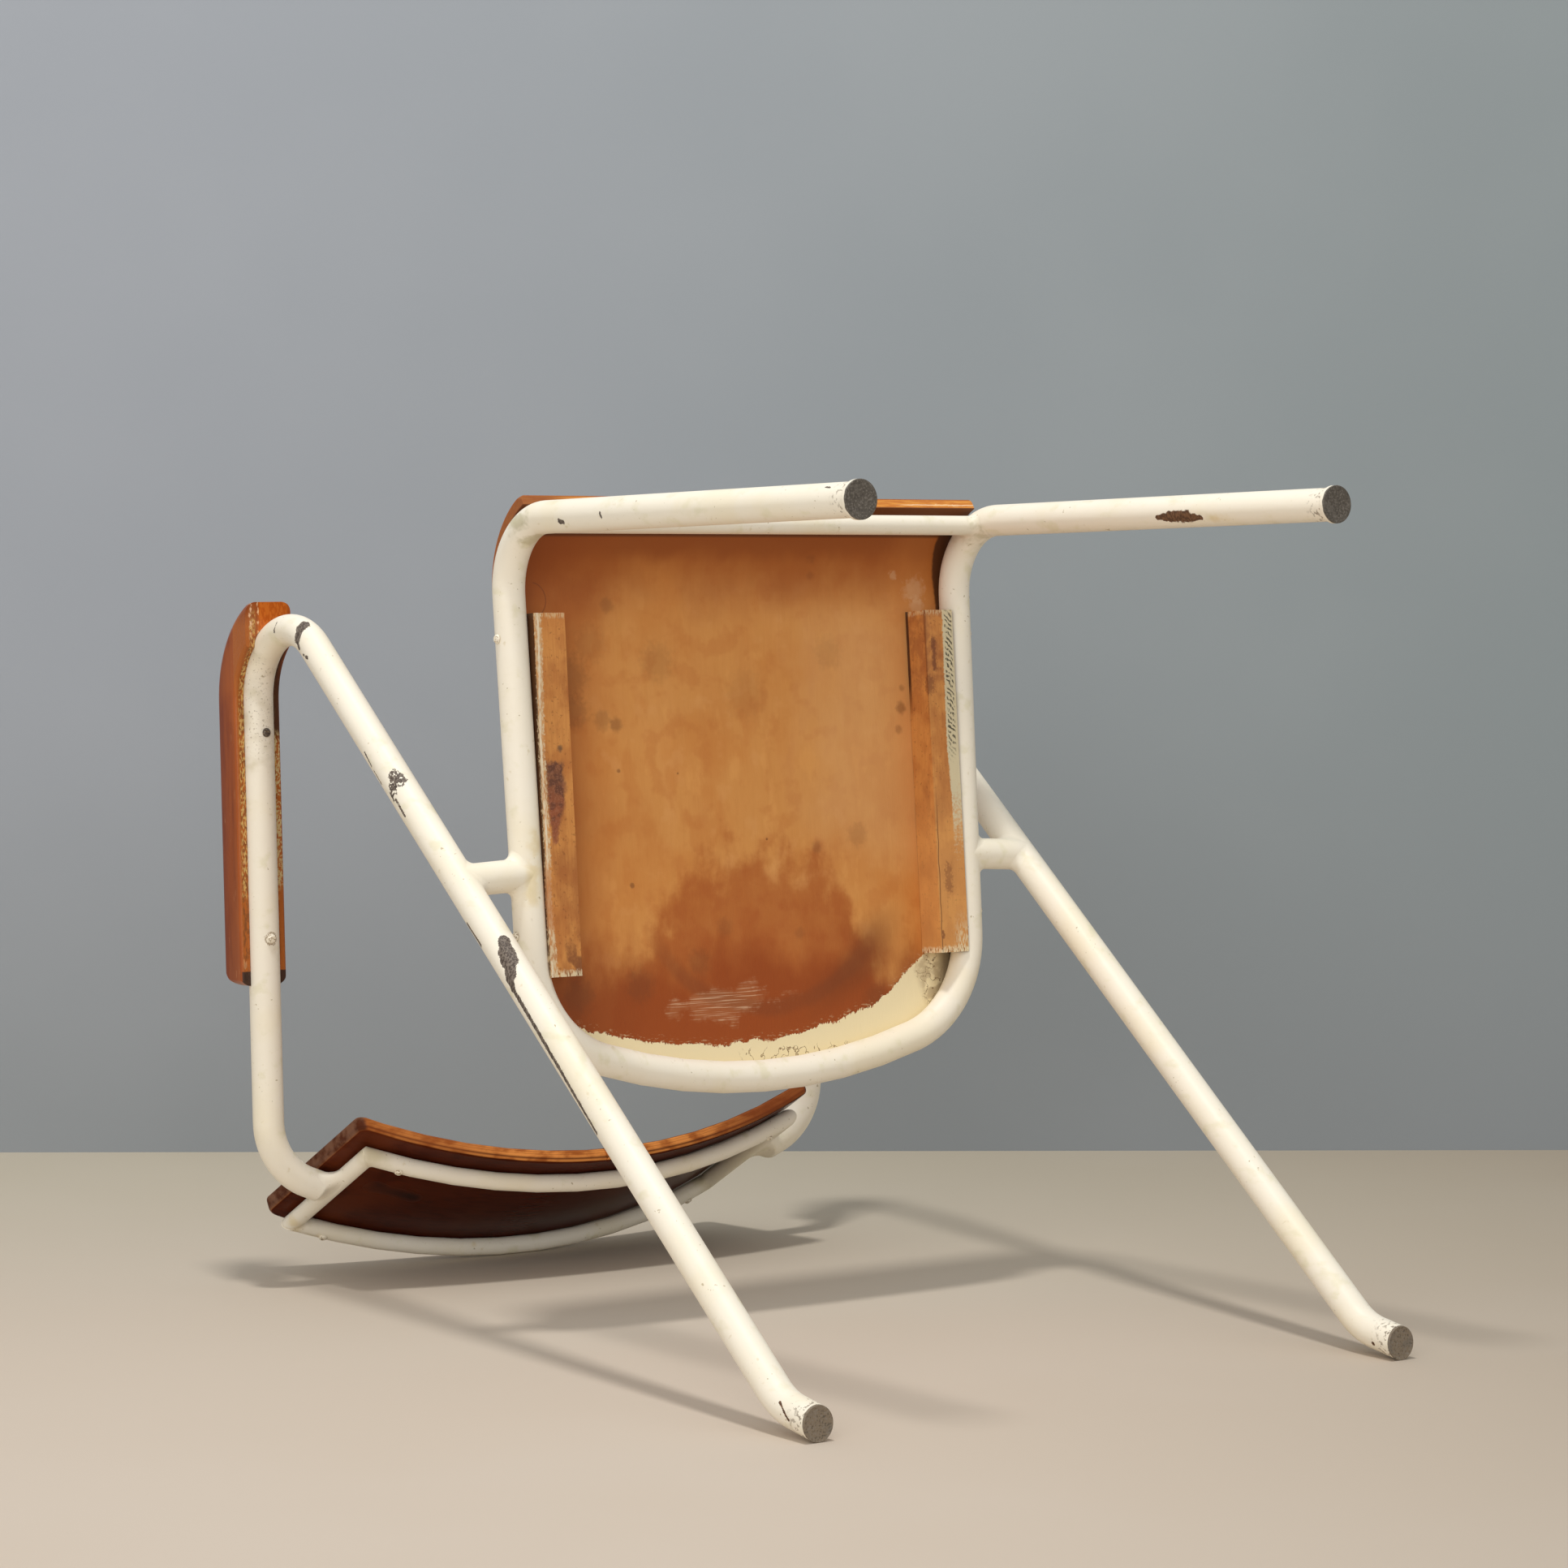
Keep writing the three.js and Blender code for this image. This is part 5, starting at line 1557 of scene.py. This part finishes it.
# %% Armrests: sides, top and the lower face beside the tube
amber = Finish("armrest_varnish", (0.31, 0.070, 0.014), 0.30)
ramp, band, noise, layer, wash = amber.tools()
up = amber.along(at(0, 0, arm_height), Z)
back = amber.along(at(0, 0, 0), Y)
outward = abs(amber.along(at(0, 0, 0), X)) - arm_x
ragged = noise(300, 4) - 0.5
grain = noise(45, 4, (6, 0.5, 6))
speckle = ramp(noise(520, 4, (1, 0.40, 1)), 0.42, 0.58)
wash(grain, 0.40, 0.66, 0.6, (0.20, 0.040, 0.010))
wash(noise(18, 3), 0.48, 0.66, 0.45, (0.44, 0.118, 0.022))
wash(back + up * 0.4, 0.045, 0.002, 0.10, (0.46, 0.110, 0.018))
sides_front = ramp(back, 0.120, 0.030) * band(outward, 0.0140, 0.0180)
layer(sides_front * 0.60, (0.160, 0.036, 0.015))
wash(up, 0.011, 0.025, 0.60, (0.175, 0.038, 0.018))
low_edge = ramp(up, 0.0075, 0.0030) * ramp(up, -0.0045, -0.0005)
layer(low_edge * 0.45, (0.45, 0.110, 0.018), 0.26)
under = ramp(up + ragged * 0.0008, 0.0010, 0.0002) * ramp(back, 0.052, 0.075)
layer(under * 0.85, (0.44, 0.130, 0.024), 0.4)
by_tube = under * band(abs(outward) - 0.0135 + ragged * 0.0015, 0.0034, 0.0018)
layer(by_tube * speckle * 0.75, (0.20, 0.070, 0.020), 0.5)
golden = by_tube * (ramp(noise(760, 4, (1, 0.40, 1)), 0.46, 0.58) * 0.85)
layer(golden * ramp(back + ragged * 0.02, 0.284, 0.270), (0.66, 0.43, 0.14), 0.5)
inner = ramp(outward, -0.011, -0.013) * under
layer(inner * ramp(back, 0.165, 0.150) * 0.9, (0.045, 0.020, 0.012), 0.5)
flaked = ramp(noise(620, 5, (1, 0.7, 1)), 0.46, 0.56) * band(back - 0.213, 0.064, 0.054)
layer(inner * flaked * 0.85, (0.64, 0.54, 0.27), 0.6)
amber.report("worn")

# %% Armrests: the nose, its chipped edges and the rear end
nose_end = ramp(up, -0.0170, -0.0180) * ramp(outward, 0.0095, 0.0060)
orange = amber.mix(speckle, (0.47, 0.098, 0.011), (0.58, 0.145, 0.018))
layer(nose_end * 0.95, orange, 0.20)
rim_dark = band(outward, 0.0155, 0.0185) * ramp(up, 0.0, -0.010) * ramp(outward, 0.0, -0.01)
layer(rim_dark * 0.6, (0.30, 0.065, 0.012))
chipping = ramp(noise(380, 4, (1, 0.6, 1)), 0.45, 0.58)
worn_edge = band(outward - 0.0150 + ragged * 0.004, 0.0016, 0.0006)
worn_edge = worn_edge * ramp(up + back * 0.5, 0.024, 0.014)
layer(worn_edge * chipping * 0.75, (0.84, 0.56, 0.34), 0.5)
second_edge = band(outward - 0.0085 + ragged * 0.003, 0.0011, 0.0004)
second_edge = second_edge * ramp(up, -0.0120, -0.0160)
layer(second_edge * chipping * 0.80, (0.86, 0.56, 0.30), 0.5)
between = band(outward - 0.0118, 0.0034, 0.0024)
between = between * ramp(up + ragged * 0.002, -0.0150, -0.0172)
layer(between * (1 - chipping) * 0.5, (0.26, 0.065, 0.016), 0.4)
rear_dark = ramp(back, rest_rear_y - 0.0115, rest_rear_y - 0.0105) * ramp(up, 0.0014, 0.0004)
layer(rear_dark * 0.92, (0.028, 0.018, 0.014), 0.6)
wash(noise(160, 2, (1, 0.3, 4), (0.5, 0, 0.3)), 0.715, 0.74, 0.45, (0.66, 0.36, 0.17), 0.5)
amber.height = amber.height + grain * 0.00006 + speckle * under * 0.00010
amber.done(rests.values(), specular_level=0.26, coat=0.06, coat_rough=0.12)

# %% [markdown]
# ## The back's varnish
#
# The back's sheet is the darkest wood, nearly black behind and glossy, while its cut edge
# stayed orange-brown. Depth through the sheet is the distance from the bow's axis.

# %% Back plywood
dark = Finish("back_varnish", (0.066, 0.0090, 0.0018), 0.26)
ramp, band, noise, layer, wash = dark.tools()
across = dark.along(at(0, 0, 0), X)
rise = dark.along(on_back(0, 0, 0), back_up)
from_axis = dark.along(on_back(0, 0, back_bow - bow_radius), back_rear)
depth = back_face_radius - apart(across, from_axis)
grain = noise(50, 4, (0.45, 6, 6))
cloud = noise(20, 4)
wash(grain, 0.42, 0.64, 0.5, (0.034, 0.006, 0.0020))
wash(cloud, 0.50, 0.66, 0.4, (0.085, 0.016, 0.0042))
smudge = dark.stroke((-0.165, 0.513, 0.700), (-0.130, 0.519, 0.700)) + (cloud - 0.5) * 0.02
wash(smudge, 0.012, 0.004, 0.8, (0.012, 0.008, 0.008), 0.5)
dark.report("darkened")

# %% The back's edge, its front and a painted highlight behind
edge = ramp(depth, 0.0006, 0.0013)
edge = edge * ramp(depth, back_ply_thickness - 0.0002, back_ply_thickness - 0.0010)
fibres = ramp(noise(110, 4, (0.5, 1, 1)), 0.38, 0.66)
layer(edge, dark.mix(fibres, (0.74, 0.280, 0.068), (0.38, 0.108, 0.023)), 0.40)
layer(edge * dark.veneer_lines(depth, back_ply_thickness, 0.38) * 0.5, (0.14, 0.035, 0.012))
layer(edge * band(depth - 0.0032, 0.0010, 0.0004) * 0.8, (0.075, 0.018, 0.008))
layer(edge * ramp(across, 0.080, 0.160) * 0.85, (0.21, 0.050, 0.014))
layer(edge * ramp(across, -0.080, -0.150) * 0.50, (0.24, 0.060, 0.016))
side_edge = edge * band(across, back_ply_half - 0.006, back_ply_half - 0.003)
layer(side_edge * 0.9, dark.mix(fibres, (0.17, 0.085, 0.055), (0.070, 0.020, 0.010)), 0.42)
front = ramp(depth, back_ply_thickness - 0.0006, back_ply_thickness + 0.0001)
front_colour = dark.mix(ramp(grain, 0.40, 0.64), (0.27, 0.072, 0.016), (0.20, 0.048, 0.011))
leaned_on = ramp(apart(across * 0.6, rise - 0.060) + cloud * 0.05, 0.110, 0.045)
layer(front, dark.mix(leaned_on * 0.6, front_colour, (0.43, 0.140, 0.033)), 0.26)
# painted highlight: the rear face is made lighter red-brown towards its right end
painted_highlight_right = ramp(across, -0.120, -0.195) * ramp(depth, 0.0012, 0.0004)
layer(painted_highlight_right * ramp(cloud, 0.36, 0.60) * 0.55, (0.16, 0.034, 0.010))
dark.height = dark.height + grain * 0.00005
dark.done([back_plate], specular_level=0.035)

# %% [markdown]
# ## Soles and screws
#
# The front soles are dark plastic worn grey by the floor, and some cream paint reached
# their rims. The rear plugs are older and browner. The screws were painted over with the
# tubes, and only those under the front of the armrests are bare, dull steel.

# %% Glides and screws
sole = Finish("worn_sole", (0.095, 0.080, 0.062), 0.75)
ramp, band, noise, layer, wash = sole.tools()
wear = noise(700, 5)
at_the_rear = ramp(sole.along(at(0, 0, 0), Y), 0.2, 0.3)
layer(at_the_rear, (0.215, 0.165, 0.110))
wash(wear, 0.50, 0.68, 0.6, (0.24, 0.215, 0.185))
wash(noise(90, 3), 0.50, 0.66, 0.5, (0.16, 0.14, 0.115))
wash(wear, 0.44, 0.34, 0.6, (0.035, 0.03, 0.028))
painted = ramp(sole.along((0, 0, 0), Z) + (noise(200, 3) - 0.5) * 0.002, 0.0010, 0.0018)
layer(painted * (1 - at_the_rear), (0.90, 0.83, 0.68), 0.4)
sole.height = sole.height + wear * 0.0002
sole.done(glides.values())

bare_heads = [f"armrest_screw_{word}_front" for word, _ in sides]
metal = Finish("screw_steel", (0.12, 0.095, 0.075), 0.5)
metal.wash(metal.noise(500, 4), 0.50, 0.65, 0.7, (0.36, 0.27, 0.17), 0.6)
metal.wash(metal.noise(120, 3), 0.56, 0.66, 0.7, (0.72, 0.63, 0.46), 0.5)
metal.height = metal.noise(700, 3) * 0.0001
metal.done([screws[name] for name in bare_heads], metal=0.4)

overpainted = Finish("screw_overpainted", (0.88, 0.80, 0.64), 0.45)
overpainted.wash(overpainted.noise(600, 4), 0.52, 0.62, 0.8, (0.30, 0.20, 0.11), 0.6)
overpainted.height = overpainted.noise(700, 3) * 0.0001
others = [screw for name, screw in screws.items() if name not in bare_heads]
overpainted.done(others, specular_level=0.35)

# %% [markdown]
# ## Floor and wall colours
#
# The floor is a pale warm sweep and the wall a grey one, lighter towards the window. Both
# colours are plain, with the light's fall-off across the floor and the wall written into their
# colours as painted shade.
# Seen from behind, both are clear, so that they never hide the chair in another view.

# %% Stage colours
def stage_colour(sheet, colour, changes):
    """A matt colour that changes along some axes, clear when seen from behind."""
    paint = Finish(f"{sheet.name}_colour", colour, 0.8)
    for place, axis, reach, changed in changes:
        paint.layer(paint.ramp(paint.along(place, axis), 0, reach), changed)
    paint.wash(paint.noise(2.2, 3), 0.4, 0.7, 0.03, (0.9, 0.9, 0.9))
    paint.done([sheet])
    clear = paint.node("BsdfTransparent")
    behind = paint.node("NewGeometry", output="Backfacing")
    surface = Socket(paint, paint.shader.outputs[0])
    both = paint.node("MixShader", {}, {0: behind, 1: surface, 2: clear})
    paint.feed(paint.tree.nodes["Material Output"].inputs["Surface"], both)


# %% [markdown]
# ## Camera
#
# The chair lies on its back in the photograph, and we keep it standing. So the camera, the
# floor and the lamps turn instead. The camera's place and its three axes were solved from
# edges of the chair whose real places are known.

# %% The camera
camera_data = bpy.data.cameras.new("camera")
camera_data.sensor_width, camera_data.lens, camera_data.clip_end = 36, 106.24, 50
camera = bpy.data.objects.new("camera", camera_data)
bpy.context.collection.objects.link(camera)
camera_place = Vector((-2.0533, -0.1763, -2.3904))
camera_right = Vector((0.80261, 0.01912, -0.59620))
camera_up = Vector((0.02830, -0.99958, 0.00604))
camera_back = camera_right.cross(camera_up)
camera.matrix_world = placed_along(camera_place, camera_right, camera_up, camera_back)
bpy.context.scene.camera = camera
print("camera", round((camera_place - at(0, 0, seat_height)).length, 3), "m from the seat")

# %% [markdown]
# ## Floor and wall
#
# The chair rests on its rear feet and on the top of its back. The floor is the plane
# through them, and the wall stands square on it behind the chair.

# %% Floor and wall
floor_up = Vector((0, -0.99894, -0.04603))
floor_place = at(0, 0.61526, 0)
wall_foot = [at(-0.080, 0.546, 1.505), at(1.170, 0.583, 0.708)]
wall_foot = [p - floor_up * (p - floor_place).dot(floor_up) for p in wall_foot]
wall_along = (wall_foot[1] - wall_foot[0]).normalized()
wall_out = floor_up.cross(wall_along)
if wall_out.dot(camera_place - wall_foot[0]) < 0:
    wall_out = -wall_out
wall_middle = (wall_foot[0] + wall_foot[1]) / 2
stage_width, floor_depth, wall_height = 9, 5, 3


def sheet_of_stage(name, along, across, width, depth, out):
    """A plane from the wall's foot outwards, its face turned to the chair."""
    deselect()
    bpy.ops.mesh.primitive_plane_add(size=1)
    sheet = bpy.context.object
    middle = wall_middle + across * depth / 2
    up = along.cross(across)
    sheet.matrix_world = placed_along(middle, along * width, across * depth, up)
    named(name)
    if sheet.data.polygons[0].normal.dot(out) < 0:
        sheet.data.flip_normals()
    print(name, "faces", [round(c, 3) for c in sheet.data.polygons[0].normal])
    return sheet


floor = sheet_of_stage("floor", wall_along, wall_out, stage_width, floor_depth, floor_up)
wall = sheet_of_stage("wall", wall_along, floor_up, stage_width, wall_height, wall_out)
# painted shade: the floor is lighter away from the wall and darker towards one end along it, as
# the light falls off
# where a change starts, its axis, how far it reaches and the colour there
floor_painted_falloff = [
    (wall_middle, wall_out, 1.2, (0.59, 0.495, 0.395)),
    (wall_middle - wall_along * 0.2, wall_along, 1.3, (0.40, 0.33, 0.245)),
]
wall_changes = [
    (wall_middle - wall_along * 0.8, wall_along, 1.6, (0.276, 0.314, 0.325)),
    (wall_middle + floor_up * 0.5, -floor_up, 0.6, (0.274, 0.294, 0.308)),
]
stage_colour(floor, (0.535, 0.472, 0.362), floor_painted_falloff)
stage_colour(wall, (0.340, 0.366, 0.402), wall_changes)

# %% [markdown]
# ## Light
#
# One fairly small lamp stands for the window and casts the shadows on the floor. A wide one
# fills in from the room's side, and an even grey-white world does the rest.

# %% Lamps and world
lamp_aim = Vector((0, 0, 0.4))


def disk_lamp(name, size, energy, place):
    data = bpy.data.lights.new(name, "AREA")
    data.shape, data.size, data.energy = "DISK", size, energy
    lamp = bpy.data.objects.new(name, data)
    bpy.context.collection.objects.link(lamp)
    lamp.location = place
    lamp.rotation_euler = (lamp_aim - lamp.location).to_track_quat("-Z", "Y").to_euler()
    print(name, "is", round((lamp_aim - lamp.location).length, 2), "m away")


disk_lamp("window", 0.38, 56, (-0.61, -3.3, -0.02))
disk_lamp("room_side", 3.0, 51, (-3.0, -1.3, -2.2))
world = bpy.data.worlds.new("room")
bpy.context.scene.world = world
world.use_nodes = True
background = world.node_tree.nodes["Background"]
background.inputs["Color"].default_value = (1, 1, 1, 1)
background.inputs["Strength"].default_value = 0.60
bpy.context.scene.view_settings.view_transform = "Standard"
